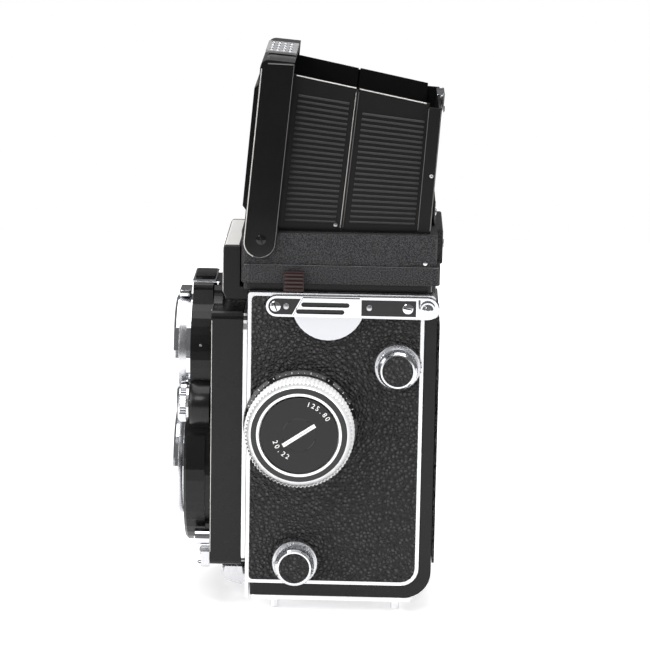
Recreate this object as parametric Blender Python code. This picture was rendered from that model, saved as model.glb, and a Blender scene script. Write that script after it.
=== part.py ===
"""A twin lens reflex camera with its waist-level hood raised, as separate pieces.

Sizes are in millimetres and are turned into metres when a mesh is made. The lens side faces -Y,
the focusing knob is on +X, the film crank on -X, and Z = 0 is the plane that the feet stand on.
"""
import math

import bmesh
import bpy
from mathutils import Matrix, Vector

MM = 0.001
GAP = 0.3              # air between pieces that touch
FIT = 0.4              # air around a shaft or a sliding piece

# ---- driving dimensions -------------------------------------------------------------------
BODY_HALF = 38.0       # half the width of the casting
BODY_FRONT = -22.2     # the casting's front face
BODY_REAR = 45.1       # the casting's rear edge, where the door begins
BODY_TOP = 127.2
BODY_BASE = 11.9       # the side walls' lower edge
BODY_TIP = 5.9         # the front wall reaches lower, in front of the door
WALL = 1.5
SIDE_WALL = 2.2
EDGE = 1.3             # width of the bare metal border round the leather
LEATHER = 0.9
DOOR_REAR = 49.9
DOOR_BASE = 6.9
DOOR_SKIN = 1.8
DOOR_CORNER = 10.5     # outer radius of the L
FOOT_HEIGHT = 5.0
FOOT_RADIUS = 1.7
TAKING_Z = 50.4        # height of the lower lens
LENS_SPACING = 46.5
RING_RADIUS = 20.9
STANDARD_HALF = 31.5   # half the width of the moving front
STANDARD_FRONT = -36.5
STANDARD_BASE = 16.3
STANDARD_TOP = 118.1
BOARD_DEPTH = 10.2     # how far the lower lens stage stands in front of the standard
UPPER_STEP = 2.0       # the upper stage is this much shallower
KNOB_REACH = 16.4      # how far the focusing knob and the crank stand out
KNOB_Y, KNOB_Z = -1.6, 75.6
KNOB_RADIUS = 20.2
SPOOL_KNOB_REACH = 9.4
SPOOL_RADIUS = 12.2
TAKEUP_Y, TAKEUP_Z = 35.3, 99.6
SUPPLY_Y, SUPPLY_Z = -2.9, 20.9
CRANK_Y, CRANK_Z = 15.0, 86.0
HOOD_HALF = 34.2       # half the width of the hood base's upper tier
HOOD_FRONT, HOOD_REAR = -25.2, 49.4
HOOD_BASE, HOOD_STEP, HOOD_TOP = 130.3, 137.3, 149.7
LID_LEAN = 5.05        # degrees
LID_LENGTH = 69.5      # from the centre of its rounded foot to its top edge
LID_FOOT_Y, LID_FOOT_Z = -18.2, 146.15
LID_DEPTH = 12.8
BACK_LEAN = 3.9
BACK_HEIGHT = 48.0
LEAF_TOP_SLOPE = 11.3  # degrees that the side walls fall towards the rear
DOOR_HINGE_Y, DOOR_HINGE_Z = 47.8, 121.3

VIEWING_Z = TAKING_Z + LENS_SPACING
BOARD_TOP = VIEWING_Z + 28.5
RING_FRONT = STANDARD_FRONT - 15.3
BOARD_REAR = STANDARD_FRONT - GAP
BOARD_FRONT = STANDARD_FRONT - BOARD_DEPTH - GAP
UPPER_FRONT = BOARD_FRONT + UPPER_STEP
OUTER_X = BODY_HALF + KNOB_REACH

LOOKS = {
    "black paint": ((0.02, 0.02, 0.022), 0.35, 0.0),
    "wrinkle paint": ((0.03, 0.03, 0.034), 0.7, 0.0),
    "gloss black": ((0.012, 0.012, 0.014), 0.18, 0.0),
    "leather": ((0.025, 0.022, 0.022), 0.6, 0.0),
    "chrome": ((0.82, 0.82, 0.84), 0.14, 1.0),
    "satin metal": ((0.7, 0.7, 0.72), 0.32, 1.0),
    "dark metal": ((0.1, 0.1, 0.11), 0.4, 1.0),
    "glass": ((0.75, 0.82, 0.9), 0.05, 0.0),
    "mirror": ((0.9, 0.9, 0.92), 0.03, 1.0),
    "plastic": ((0.02, 0.02, 0.02), 0.4, 0.0),
    "brass": ((0.72, 0.55, 0.25), 0.3, 1.0),
}


# ---- making and joining shapes ------------------------------------------------------------
def clear_scene():
    for thing in list(bpy.data.objects):
        bpy.data.objects.remove(thing, do_unlink=True)


def material_for(node, look):
    """A Principled material of the node's own, in one of the named looks."""
    colour, roughness, metallic = LOOKS[look]
    made = bpy.data.materials.new(node)
    made.use_nodes = True
    shader = made.node_tree.nodes["Principled BSDF"]
    shader.inputs["Base Color"].default_value = (*colour, 1.0)
    shader.inputs["Roughness"].default_value = roughness
    shader.inputs["Metallic"].default_value = metallic
    return made


def publish(name, made, look=None, at=(0.0, 0.0, 0.0)):
    """Turn a bmesh in millimetres into an object in metres whose origin is the point at."""
    bmesh.ops.remove_doubles(made, verts=made.verts, dist=1e-5)
    bmesh.ops.recalc_face_normals(made, faces=made.faces)
    origin = Vector(at)
    for vertex in made.verts:
        vertex.co = (vertex.co - origin) * MM
    mesh = bpy.data.meshes.new(name)
    made.to_mesh(mesh)
    made.free()
    thing = bpy.data.objects.new(name, mesh)
    thing.location = origin * MM
    bpy.context.collection.objects.link(thing)
    if look:
        mesh.materials.append(material_for(name, look))
        mesh.shade_smooth()
        mesh.set_sharp_from_angle(angle=math.radians(32))
    else:
        thing.hide_render = True
        thing.display_type = "WIRE"
    return thing


def arc(centre, radius, start, end, steps):
    """Points from start to end degrees, both included."""
    turns = [math.radians(start + (end - start) * i / steps) for i in range(steps + 1)]
    return [(centre[0] + radius * math.cos(t), centre[1] + radius * math.sin(t)) for t in turns]


def rounded(left, right, low, high, radius, steps=4):
    """A rectangle's outline with rounded corners; radius may be one number or four."""
    radii = radius if isinstance(radius, tuple) else (radius,) * 4
    corners = ((right, high, -1, -1, 0), (left, high, 1, -1, 90), (left, low, 1, 1, 180),
               (right, low, -1, 1, 270))
    points = []
    for (a, b, toward_a, toward_b, start), r in zip(corners, radii):
        points += arc((a + toward_a * r, b + toward_b * r), r, start, start + 90, steps) if r else [(a, b)]
    return points


def slab(outline, axis, low, high):
    """An outline in the two other axes, extruded along axis (0, 1 or 2) between low and high."""
    made = bmesh.new()
    ends = []
    for level in (low, high):
        ring = []
        for a, b in outline:
            place = [a, b]
            place.insert(axis, level)
            ring.append(made.verts.new(place))
        ends.append(ring)
    made.faces.new(ends[0])
    made.faces.new(ends[1])
    for i in range(len(outline)):
        j = (i + 1) % len(outline)
        made.faces.new((ends[0][i], ends[0][j], ends[1][j], ends[1][i]))
    return made


def block(x, y, z, radius=0.0, axis=2):
    """A box between three pairs of bounds, rounded on the four edges that run along axis."""
    spans = [x, y, z]
    low, high = spans.pop(axis)
    return slab(rounded(*spans[0], *spans[1], radius), axis, low, high)


def turned(profile, axis, centre, steps=32):
    """A closed profile of (radius, distance along axis) turned about a line through centre."""
    made = bmesh.new()
    others = [i for i in range(3) if i != axis]
    rings = []
    for radius, along in profile:
        place = [0.0, 0.0, 0.0]
        place[axis] = along
        if radius == 0.0:
            place[others[0]], place[others[1]] = centre
            rings.append([made.verts.new(place)] * steps)
            continue
        ring = []
        for i in range(steps):
            turn = 2 * math.pi * i / steps
            place[others[0]] = centre[0] + radius * math.cos(turn)
            place[others[1]] = centre[1] + radius * math.sin(turn)
            ring.append(made.verts.new(place))
        rings.append(ring)
    for first, second in zip(rings, rings[1:] + rings[:1]):
        for i in range(steps):
            j = (i + 1) % steps
            corners = list(dict.fromkeys((first[i], first[j], second[j], second[i])))
            if len(corners) > 2:
                made.faces.new(corners)
    return made


def rod(axis, centre, radius, low, high, steps=24):
    return turned([(0.0, low), (radius, low), (radius, high), (0.0, high)], axis, centre, steps)


def moved(made, matrix):
    bmesh.ops.transform(made, matrix=matrix, verts=made.verts)
    return made


def combine(target, made, operation):
    """Cut a shape from the target, or join it on, with an exact Boolean that stays live."""
    count = len(target.modifiers) + 1
    tool = publish(f"{target.name}.tool{count:02d}", made)
    step = target.modifiers.new(f"{operation.lower()} {count}", "BOOLEAN")
    step.operation = operation
    step.object = tool
    step.solver = "EXACT"
    return target


def cut(target, made):
    return combine(target, made, "DIFFERENCE")


def join(target, made):
    return combine(target, made, "UNION")


def soften(target, width, degrees=35.0):
    """Break the sharp edges with a one-step bevel."""
    step = target.modifiers.new("broken edges", "BEVEL")
    step.width = width * MM
    step.segments = 1
    step.limit_method = "ANGLE"
    step.angle_limit = math.radians(degrees)
    step.harden_normals = False
    return target


# ---- the casting and what is fixed to it --------------------------------------------------
CHEEK_BASE = DOOR_HINGE_Z - 3.0


def casting_outline():
    """The side view: a lip in front of the door, and cheeks at the rear round the door's hinge."""
    corner = DOOR_CORNER - 3.4
    tip = [(BODY_FRONT, BODY_TIP), (BODY_FRONT + 1.3, BODY_TIP), (BODY_FRONT + 1.3, BODY_BASE)]
    bottom_rear = arc((BODY_REAR - corner, BODY_BASE + corner), corner, -90, 0, 6)
    cheek = [(BODY_REAR, CHEEK_BASE)] + arc((DOOR_HINGE_Y, DOOR_HINGE_Z), 3.05, -100, 62, 10)
    top_rear = [(cheek[-1][0], BODY_TOP - 1.0), (cheek[-1][0] - 1.0, BODY_TOP)]
    top_front = arc((BODY_FRONT + 1.0, BODY_TOP - 1.0), 1.0, 90, 180, 2)
    return tip + bottom_rear + cheek + top_rear + top_front


def leather_outline(inset):
    """The panel that lies inside the metal border, or the recess for it with no inset."""
    left, right = BODY_FRONT + EDGE + inset, BODY_REAR - EDGE - inset
    low, high = BODY_BASE + EDGE + inset, BODY_TOP - EDGE - inset
    return rounded(left, right, low, high, (1.6, 1.6, 1.6, 5.7), 4)


SHAFT_RADIUS = 3.0
SPINDLE_RADIUS = 2.4
AXLE_RADIUS = 1.1


def side_holes(target, side, low, high, extra):
    """The holes that one side wall and its leather share."""
    if side > 0:
        places = ((KNOB_Y, KNOB_Z, SHAFT_RADIUS), (TAKEUP_Y, TAKEUP_Z, SPINDLE_RADIUS),
                  (SUPPLY_Y, SUPPLY_Z, SPINDLE_RADIUS))
    else:
        places = ((CRANK_Y, CRANK_Z, SHAFT_RADIUS),)
    for y, z, radius in places:
        cut(target, rod(0, (y, z), radius + extra, low, high, 20))


FRONT_OPENING = (-30.7, 30.7, 24.0, 112.0)
LATCH_HALF = 21.5
LATCH_TOP = 13.1
HINGE_RADIUS = 2.2
HINGE_HALF = 30.0
KNUCKLES = ((-30.0, -18.0), (-17.7, -6.0), (-5.7, 5.7), (6.0, 17.7), (18.0, 30.0))


def body_casting():
    casting = publish("body_casting", slab(casting_outline(), 0, -BODY_HALF, BODY_HALF), "satin metal")
    inner = BODY_HALF - SIDE_WALL
    cut(casting, block((-inner, inner), (BODY_FRONT + WALL, DOOR_REAR + 9), (-6.0, CHEEK_BASE - 0.4)))
    cut(casting, block((-inner, inner), (BODY_FRONT + WALL, BODY_REAR - WALL),
                       (CHEEK_BASE - 3, BODY_TOP - WALL)))
    slot = HINGE_HALF + GAP
    cut(casting, block((-slot, slot), (BODY_REAR, DOOR_REAR + 3), (CHEEK_BASE - 3, BODY_TOP + 3)))
    for side in (1, -1):
        low, high = sorted((side * (BODY_HALF - LEATHER - 0.1), side * (BODY_HALF + 2)))
        cut(casting, slab(leather_outline(0.0), 0, low, high))
    for side in (1, -1):
        low, high = sorted((side * (inner - 2), side * (BODY_HALF + 3)))
        side_holes(casting, side, low, high, FIT)
    left, right, low, high = FRONT_OPENING
    cut(casting, block((left, right), (BODY_FRONT - 2, BODY_FRONT + WALL + 2), (low, high), 3.0, 1))
    cut(casting, block((-28.5, 28.5), (-15.0, 40.5), (BODY_TOP - WALL - 2, BODY_TOP + 2), 1.0, 2))
    notch = LATCH_HALF + 2.0
    cut(casting, block((-notch, notch), (BODY_FRONT - 2, BODY_FRONT + 2.5), (0.0, LATCH_TOP + GAP), 1.0, 1))
    for low, high in KNUCKLES[1::2]:
        join(casting, rod(0, (DOOR_HINGE_Y, DOOR_HINGE_Z), HINGE_RADIUS, low, high, 16))
        join(casting, block((low, high), (BODY_REAR - 1.0, DOOR_HINGE_Y), (119.8, 122.9)))
    cut(casting, rod(0, (DOOR_HINGE_Y, DOOR_HINGE_Z), AXLE_RADIUS + FIT, -HINGE_HALF, HINGE_HALF, 16))
    return casting


def leather_panel(side, name):
    near, far = BODY_HALF - LEATHER + GAP - 0.1, BODY_HALF + 0.2
    low, high = sorted((side * near, side * far))
    panel = publish(name, slab(leather_outline(GAP / 2), 0, low, high), "leather")
    side_holes(panel, side, side * BODY_HALF - 4, side * BODY_HALF + 4, FIT + 0.6)
    return panel


def front_plate():
    """The bright frame that stands just in front of the casting, round the light trap."""
    rear = BODY_FRONT - GAP
    plate = publish("front_plate", block((-36.6, 36.6), (rear - WALL, rear), (18.3, 118.3), 6.0, 1),
                    "satin metal")
    left, right, low, high = FRONT_OPENING
    cut(plate, block((left, right), (rear - 4, rear + 2), (low, high), 3.0, 1))
    return plate


GATE_HALF = 28.0
GATE_REAR = 43.4
CONE_FRONT_HALF = 9.3


def film_gate():
    """The frame the film lies on, with the light cone that runs forward from it to the lens."""
    half = BODY_HALF - SIDE_WALL - FIT
    gate = publish("film_gate", block((-half, half), (GATE_REAR - 2.4, GATE_REAR), (19.0, 82.2), 1.0, 1),
                   "black paint")
    rear, front = GATE_REAR - 1.0, BODY_FRONT + WALL + 1.2
    wall = 1.2
    cone = frustum(front, CONE_FRONT_HALF + wall, rear, GATE_HALF + wall)
    join(gate, cone)
    slope = (GATE_HALF - CONE_FRONT_HALF) / (rear - front)
    hollow = frustum(front - 3, CONE_FRONT_HALF - 3 * slope, GATE_REAR + 2, GATE_HALF + 3 * slope)
    return cut(gate, hollow)


def frustum(front, front_half, rear, rear_half):
    """A square funnel round the taking lens's axis."""
    made = bmesh.new()
    rings = []
    for y, half in ((front, front_half), (rear, rear_half)):
        corners = ((-half, -half), (half, -half), (half, half), (-half, half))
        rings.append([made.verts.new((x, y, TAKING_Z + z)) for x, z in corners])
    made.faces.new(rings[0])
    made.faces.new(rings[1])
    for i in range(4):
        j = (i + 1) % 4
        made.faces.new((rings[0][i], rings[0][j], rings[1][j], rings[1][i]))
    return made


MIRROR_LINE = 87.0     # height of the mirror's face where Y is 0; the face rises at 45 degrees


def mirror_slab(half, low_y, high_y, behind, thickness):
    """A plate that lies behind the mirror's face by a stated distance."""
    back = math.sqrt(2) / 2
    near, far = behind * back, (behind + thickness) * back
    outline = [(low_y + near, low_y + MIRROR_LINE - near), (high_y + near, high_y + MIRROR_LINE - near),
               (high_y + far, high_y + MIRROR_LINE - far), (low_y + far, low_y + MIRROR_LINE - far)]
    return slab(outline, 0, -half, half)


def reflex_mirror():
    publish("reflex_mirror", mirror_slab(28.0, -12.5, 35.0, 0.0, 1.6), "mirror")


SPOOL_HALF = 31.6


def spool(name, y, z):
    """A film spool: two flanges on a slotted core, with a socket at each end for a spindle."""
    core, flange = 5.8, 1.2
    profile = [(0.0, -SPOOL_HALF + 6), (SPINDLE_RADIUS + FIT, -SPOOL_HALF + 6),
               (SPINDLE_RADIUS + FIT, -SPOOL_HALF),
               (SPOOL_RADIUS, -SPOOL_HALF), (SPOOL_RADIUS, flange - SPOOL_HALF), (core, flange - SPOOL_HALF),
               (core, SPOOL_HALF - flange), (SPOOL_RADIUS, SPOOL_HALF - flange), (SPOOL_RADIUS, SPOOL_HALF),
               (SPINDLE_RADIUS + FIT, SPOOL_HALF), (SPINDLE_RADIUS + FIT, SPOOL_HALF - 6), (0.0,
                                                                                            SPOOL_HALF - 6)]
    made = moved(turned(profile, 0, (0.0, 0.0), 28), Matrix.Translation((0, y, z)))
    return publish(name, made, "plastic", (0, y, z))


ROLLERS = {"upper_film_roller": (41.2, 84.9), "lower_film_roller": (40.4, 16.2)}
ROLLER_RADIUS = 2.0


def film_roller(name):
    y, z = ROLLERS[name]
    end = BODY_HALF - SIDE_WALL - GAP
    profile = [(0.0, -end), (1.0, -end), (1.0, -32.0), (ROLLER_RADIUS, -32.0), (ROLLER_RADIUS, 32.0),
               (1.0, 32.0),
               (1.0, end), (0.0, end)]
    return publish(name, turned(profile, 0, (y, z), 14), "satin metal", (0, y, z))


def screen_parts():
    """The frame on top of the casting and the focusing screen that lies on it."""
    low = BODY_TOP + GAP
    high = HOOD_BASE - GAP
    frame = publish("screen_frame", block((-34.0, 34.0), (-24.4, 47.7), (low, high), 2.5), "black paint")
    cut(frame, block((-28.0, 28.0), (-15.0, 40.5), (low - 2, high + 2), 1.0))
    half = HOOD_OPENING - GAP
    screen = block((-half, half), (-20.5, 44.5), (high + GAP, high + GAP + 1.8), 0.6)
    publish("focusing_screen", screen, "glass")


HOOD_OPENING = 30.5    # half the width of the space inside the hood base
METER_HALF = 28.5


def meter():
    """The light meter's housing over the lenses, held by the front of the casting."""
    low, high, front, rear = 122.2, 143.3, -32.5, -25.6
    outline = [(front + 1.4, low), (BODY_FRONT - GAP, low), (BODY_FRONT - GAP, BODY_TOP), (rear, BODY_TOP),
               (rear, high),
               (front + 0.9, high), (front, high - 1.2), (front, low + 3.4)]
    housing = publish("meter_housing", slab(outline, 0, -METER_HALF, METER_HALF), "black paint")
    window = (-24.0, 24.0, 128.2, 140.9)
    cut(housing, block(window[:2], (front - 2, front + 1.6), window[2:], 2.0, 1))
    soften(housing, 0.35)
    inset = GAP
    cell = block((window[0] + inset, window[1] - inset), (front - 0.1, front + 1.3),
                 (window[2] + inset, window[3] - inset), 1.7, 1)
    publish("meter_cell", cell, "glass")


def strap_plate(side, name):
    """A strap lug's base plate with its half-moon skirt, raised centre and end boss."""
    middle, half = 122.3, 4.0
    base = BODY_HALF + 0.5
    outline = arc((-11.3, middle), half, 90, 270, 8)
    outline += arc((8.4, middle + 1.0), 13.9, 201.2, 338.8, 14)
    outline += arc((46.2, middle), half + 0.2, -90, 90, 8)
    low, high = sorted((side * base, side * (base + 1.1)))
    plate = publish(name, slab(outline, 0, low, high), "chrome")
    raised = [(-5.0, middle - 3.6), (19.4, middle - 3.6), (20.4, middle + 3.6), (-1.2, middle + 3.6)]
    low, high = sorted((side * (base + 0.5), side * (base + 2.3)))
    join(plate, slab(raised, 0, low, high))
    for y, z in ((7.3, middle + 1.1), (5.4, middle - 1.6)):
        slot = rounded(y - 9.2, y + 9.2, z - 0.9, z + 0.9, 0.85, 2)
        low, high = sorted((side * (base + 1.5), side * (base + 4)))
        cut(plate, slab(slot, 0, low, high))
    low, high = sorted((side * (base + 0.5), side * (base + 3.2)))
    return join(plate, rod(0, (46.2, middle), 2.9, low, high, 20))


# ---- the door -----------------------------------------------------------------------------
def door_outline():
    inner = DOOR_CORNER - 3.4 + GAP
    outer_corner = arc((DOOR_REAR - DOOR_CORNER, DOOR_BASE + DOOR_CORNER), DOOR_CORNER, -90, 0, 8)
    inner_corner = arc((BODY_REAR - inner + GAP, BODY_BASE + inner - GAP), inner, 0, -90, 6)
    front = BODY_FRONT + 1.3 + GAP + 0.3
    top = 117.9
    return ([(front, DOOR_BASE)] + outer_corner + [(DOOR_REAR, top), (BODY_REAR + GAP, top)] + inner_corner
            + [(front, BODY_BASE - GAP)])


def back_door():
    half = BODY_HALF - 0.5
    door = publish("back_door", slab(door_outline(), 0, -half, half), "black paint",
                   (0, DOOR_HINGE_Y, DOOR_HINGE_Z))
    skin = 1.0
    corner = DOOR_CORNER - DOOR_SKIN
    rear = DOOR_REAR - DOOR_SKIN
    hollow = [(-19.0, DOOR_BASE + skin)]
    hollow += arc((rear - corner, DOOR_BASE + skin + corner), corner, -90, 0, 6)
    hollow += [(rear, 116.4), (30.0, 116.4), (30.0, 30.0), (-19.0, 30.0)]
    cut(door, slab(hollow, 0, -half + 1.6, half - 1.6))
    for low, high in KNUCKLES[0::2]:
        join(door, rod(0, (DOOR_HINGE_Y, DOOR_HINGE_Z), HINGE_RADIUS, low, high, 16))
        join(door, block((low, high), (DOOR_HINGE_Y - 1.0, DOOR_HINGE_Y + 1.9), (117.0, DOOR_HINGE_Z)))
    cut(door, rod(0, (DOOR_HINGE_Y, DOOR_HINGE_Z), AXLE_RADIUS + FIT, -33, 33, 16))
    pin = rod(0, (DOOR_HINGE_Y, DOOR_HINGE_Z), AXLE_RADIUS, -HINGE_HALF, HINGE_HALF, 14)
    publish("door_hinge_pin", pin, "satin metal", (0, DOOR_HINGE_Y, DOOR_HINGE_Z))
    panel = block((-35.6, 35.6), (DOOR_REAR + GAP, DOOR_REAR + GAP + LEATHER), (20.0, 115.6), 3.0, 1)
    publish("rear_leather", panel, "leather")


FEET = ((30.0, -11.0), (-30.0, -11.0), (30.0, 36.2), (-30.0, 36.2))
SOCKET_Y = 12.6
SOCKET_RADIUS = 14.0
SCREW_RADIUS = 3.0


def door_base():
    """The bright plate under the door, with its four feet and the tripod boss."""
    low, high = FOOT_HEIGHT, DOOR_BASE - GAP
    plate = publish("base_plate", block((-36.9, 36.9), (-20.2, 42.6), (low, high), 2.5), "satin metal")
    for x, y in FEET:
        profile = [(0.0, 0.0), (FOOT_RADIUS - 0.3, 0.0), (FOOT_RADIUS, 0.4), (FOOT_RADIUS, low + 0.8),
                   (0.0, low + 0.8)]
        join(plate, turned(profile, 2, (x, y), 16))
    boss = [(0.0, 0.0), (SOCKET_RADIUS - 0.6, 0.0), (SOCKET_RADIUS, 0.6), (SOCKET_RADIUS, low + 0.8),
            (0.0, low + 0.8)]
    join(plate, turned(boss, 2, (0.0, SOCKET_Y), 32))
    cut(plate, rod(2, (0.0, SOCKET_Y), SCREW_RADIUS, -2.0, low + 0.9, 20))


LATCH_Y, LATCH_Z = -22.2, 8.7


def door_latch():
    """The grip at the foot of the front that holds the door shut."""
    outline = arc((LATCH_Y, LATCH_Z), 1.4, 60, -120, 8)
    outline += [(-24.4, 5.6), (-30.6, 7.4), (-31.8, 9.6), (-31.0, LATCH_TOP), (-24.2, LATCH_TOP),
                (-23.8, 10.1)]
    return publish("door_latch", slab(outline, 0, -LATCH_HALF, LATCH_HALF), "satin metal",
                   (0, LATCH_Y, LATCH_Z))


def pressure_plate():
    plate = block((-30.0, 30.0), (GATE_REAR + 0.6, GATE_REAR + 1.8), (21.0, 80.5), 1.5, 1)
    publish("pressure_plate", plate, "dark metal")


# ---- the lens standard --------------------------------------------------------------------
def lens_standard():
    """The moving front: a shallow box, open behind, with two rails that the cams push."""
    half, low, high = STANDARD_HALF, STANDARD_BASE, STANDARD_TOP
    rear = BODY_FRONT - GAP - WALL - FIT
    standard = publish("lens_standard", block((-half, half), (STANDARD_FRONT, rear), (low, high), 3.0, 1),
                       "black paint")
    hump = [(-18.5, high - 1), (18.5, high - 1), (18.5, high)] + arc((20.5, high + 7.0), 7.0, 262, 200, 6)
    hump += [(12.6, 124.4), (-12.6, 124.4)]
    hump += [(-x, z) for x, z in reversed(arc((20.5, high + 7.0), 7.0, 262, 200, 6))] + [(-18.5, high)]
    join(standard, slab(hump, 1, STANDARD_FRONT, STANDARD_FRONT + 3.4))
    inner = half - WALL
    cut(standard, block((-inner, inner), (STANDARD_FRONT + 1.8, rear + 4), (low + WALL, high - WALL), 2.0,
                        1))
    for side in (1, -1):
        low_x, high_x = sorted((side * (RACK_X - 1.5), side * (RACK_X + 1.5)))
        join(standard, block((low_x, high_x), (STANDARD_FRONT + 1.0, KNOB_Y + 10.5),
                             (RACK_TOP - 5.6, RACK_TOP)))
    for z, radius in ((VIEWING_Z, LENS_TUBE + FIT), (TAKING_Z, LENS_TUBE + FIT)):
        cut(standard, rod(1, (0.0, z), radius, STANDARD_FRONT - 2, STANDARD_FRONT + 4, 32))
    for side in (1, -1):
        cut(standard, rod(1, (side * RELEASE_X, RELEASE_Z), 1.2 + FIT, STANDARD_FRONT - 2,
                          STANDARD_FRONT + 4, 12))
    return standard


PINION_RADIUS = 3.4
RACK_X = 28.7
RACK_TOP = KNOB_Z - PINION_RADIUS - GAP
LENS_TUBE = 16.0
RELEASE_X, RELEASE_Z = 26.3, 24.4
WHEEL_X, WHEEL_Z = 22.6, VIEWING_Z - 17.4
WHEEL_RADIUS = 7.1
LOWER_LOBE, UPPER_LOBE = 31.4, 25.5
LENS_BORE = 13.6


def figure_eight():
    """The lens board's outline: two overlapping circles with their notches filled in."""
    fillet, below = 40.0, LOWER_LOBE - 0.8
    a, b, d = below + fillet, UPPER_LOBE + fillet, LENS_SPACING
    along = (a * a - b * b + d * d) / (2 * d)
    out = math.sqrt(a * a - along * along)
    low_turn = math.degrees(math.atan2(along, out))
    high_turn = math.degrees(math.atan2(d - along, out))
    lower = arc((0.0, TAKING_Z), below, -90, low_turn, 16)
    notch = arc((out, TAKING_Z + along), fillet, 180 + low_turn, 180 - high_turn, 8)
    upper = arc((0.0, VIEWING_Z), UPPER_LOBE, -high_turn, 90, 14)
    right = lower + notch[1:-1] + upper
    return right + [(-x, z) for x, z in reversed(right[1:-1])]


def lens_board():
    """The figure-eight board: a deeper round stage below, a barrel above, a flat-topped crown."""
    board = publish("lens_board", slab(figure_eight(), 1, UPPER_FRONT, BOARD_REAR), "black paint")
    join(board, block((-15.0, 15.0), (UPPER_FRONT + 0.4, BOARD_REAR - 0.1), (VIEWING_Z + 12, BOARD_TOP),
                      2.5, 1))
    stage = turned([(0.0, BOARD_FRONT), (LOWER_LOBE - 1.0, BOARD_FRONT), (LOWER_LOBE, BOARD_FRONT + 1.0),
                    (LOWER_LOBE, BOARD_REAR - 2.0), (0.0, BOARD_REAR - 2.0)], 1, (0.0, TAKING_Z), 44)
    join(board, stage)
    cut(board, rod(1, (0.0, VIEWING_Z), RING_RADIUS + 0.5, BOARD_FRONT - 2, UPPER_FRONT + 0.1, 44))
    join(board, rod(1, (0.0, VIEWING_Z), LENS_TUBE, RING_FRONT + 0.9, UPPER_FRONT + 3, 36))
    cut(board, rod(1, (0.0, TAKING_Z), LENS_TUBE + FIT, BOARD_FRONT - 2, BOARD_REAR + 2, 36))
    seat = RING_FRONT + 8.4
    bore = [(0.0, RING_FRONT - 2), (LENS_BORE + 0.8, RING_FRONT - 2), (LENS_BORE + 0.8, RING_FRONT + 0.9),
            (LENS_BORE, seat), (LENS_BORE - 2.0, seat), (LENS_BORE - 2.0, BOARD_REAR + 2), (0.0,
                                                                                            BOARD_REAR + 2)]
    cut(board, turned(bore, 1, (0.0, VIEWING_Z), 32))
    for side in (1, -1):
        cut(board, rod(1, (side * WHEEL_X, WHEEL_Z), WHEEL_RADIUS + 0.5, BOARD_FRONT - 2,
                       UPPER_FRONT + 0.1, 28))
        cut(board, rod(1, (side * WHEEL_X, WHEEL_Z), 1.5 + FIT, BOARD_FRONT - 2, UPPER_FRONT + 5, 12))
    return board


def lens_ring(name, z, seat):
    """A bayonet ring, chamfered on its rim, round one lens."""
    inner, outer = LENS_TUBE + FIT, RING_RADIUS
    profile = [(inner, seat - GAP), (outer, seat - GAP), (outer, RING_FRONT + 0.8),
               (outer - 0.8, RING_FRONT),
               (inner + 0.5, RING_FRONT), (inner, RING_FRONT + 0.5)]
    return publish(name, turned(profile, 1, (0.0, z), 44), "chrome")


def shutter_housing():
    """The shutter's tube through the board, with its wider case behind the standard's wall."""
    front, seat, rear = RING_FRONT + 0.9, RING_FRONT + 8.4, -26.5
    shoulder = STANDARD_FRONT + 1.8 + GAP
    profile = [(LENS_BORE + 0.8, front), (LENS_TUBE, front), (LENS_TUBE, shoulder), (20.0, shoulder),
               (20.0, rear),
               (LENS_BORE - 2.0, rear), (LENS_BORE - 2.0, seat), (LENS_BORE, seat)]
    return publish("shutter_housing", turned(profile, 1, (0.0, TAKING_Z), 36), "dark metal")


def lens_glass(name, z, radius, front, depth, bulge, steps=32):
    """A lens element, domed towards the front."""
    rim = [(radius * math.sin(t), front + bulge * (1 - math.cos(t)) / (1 - math.cos(1.0)))
           for t in (0.0, 0.33, 0.66, 1.0)]
    scale = radius / rim[-1][0]
    profile = [(r * scale if r else 0.0, y) for r, y in rim] + [(radius, front + depth),
                                                                (0.0, front + depth)]
    return publish(name, turned(profile, 1, (0.0, z), steps), "glass")


def lenses():
    lens_ring("viewing_lens_ring", VIEWING_Z, UPPER_FRONT)
    lens_ring("taking_lens_ring", TAKING_Z, BOARD_FRONT)
    shutter_housing()
    for name, z in (("viewing_lens", VIEWING_Z), ("taking_lens", TAKING_Z)):
        lens_glass(name, z, LENS_BORE - GAP, RING_FRONT + 2.6, 5.4, 2.0)


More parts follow.
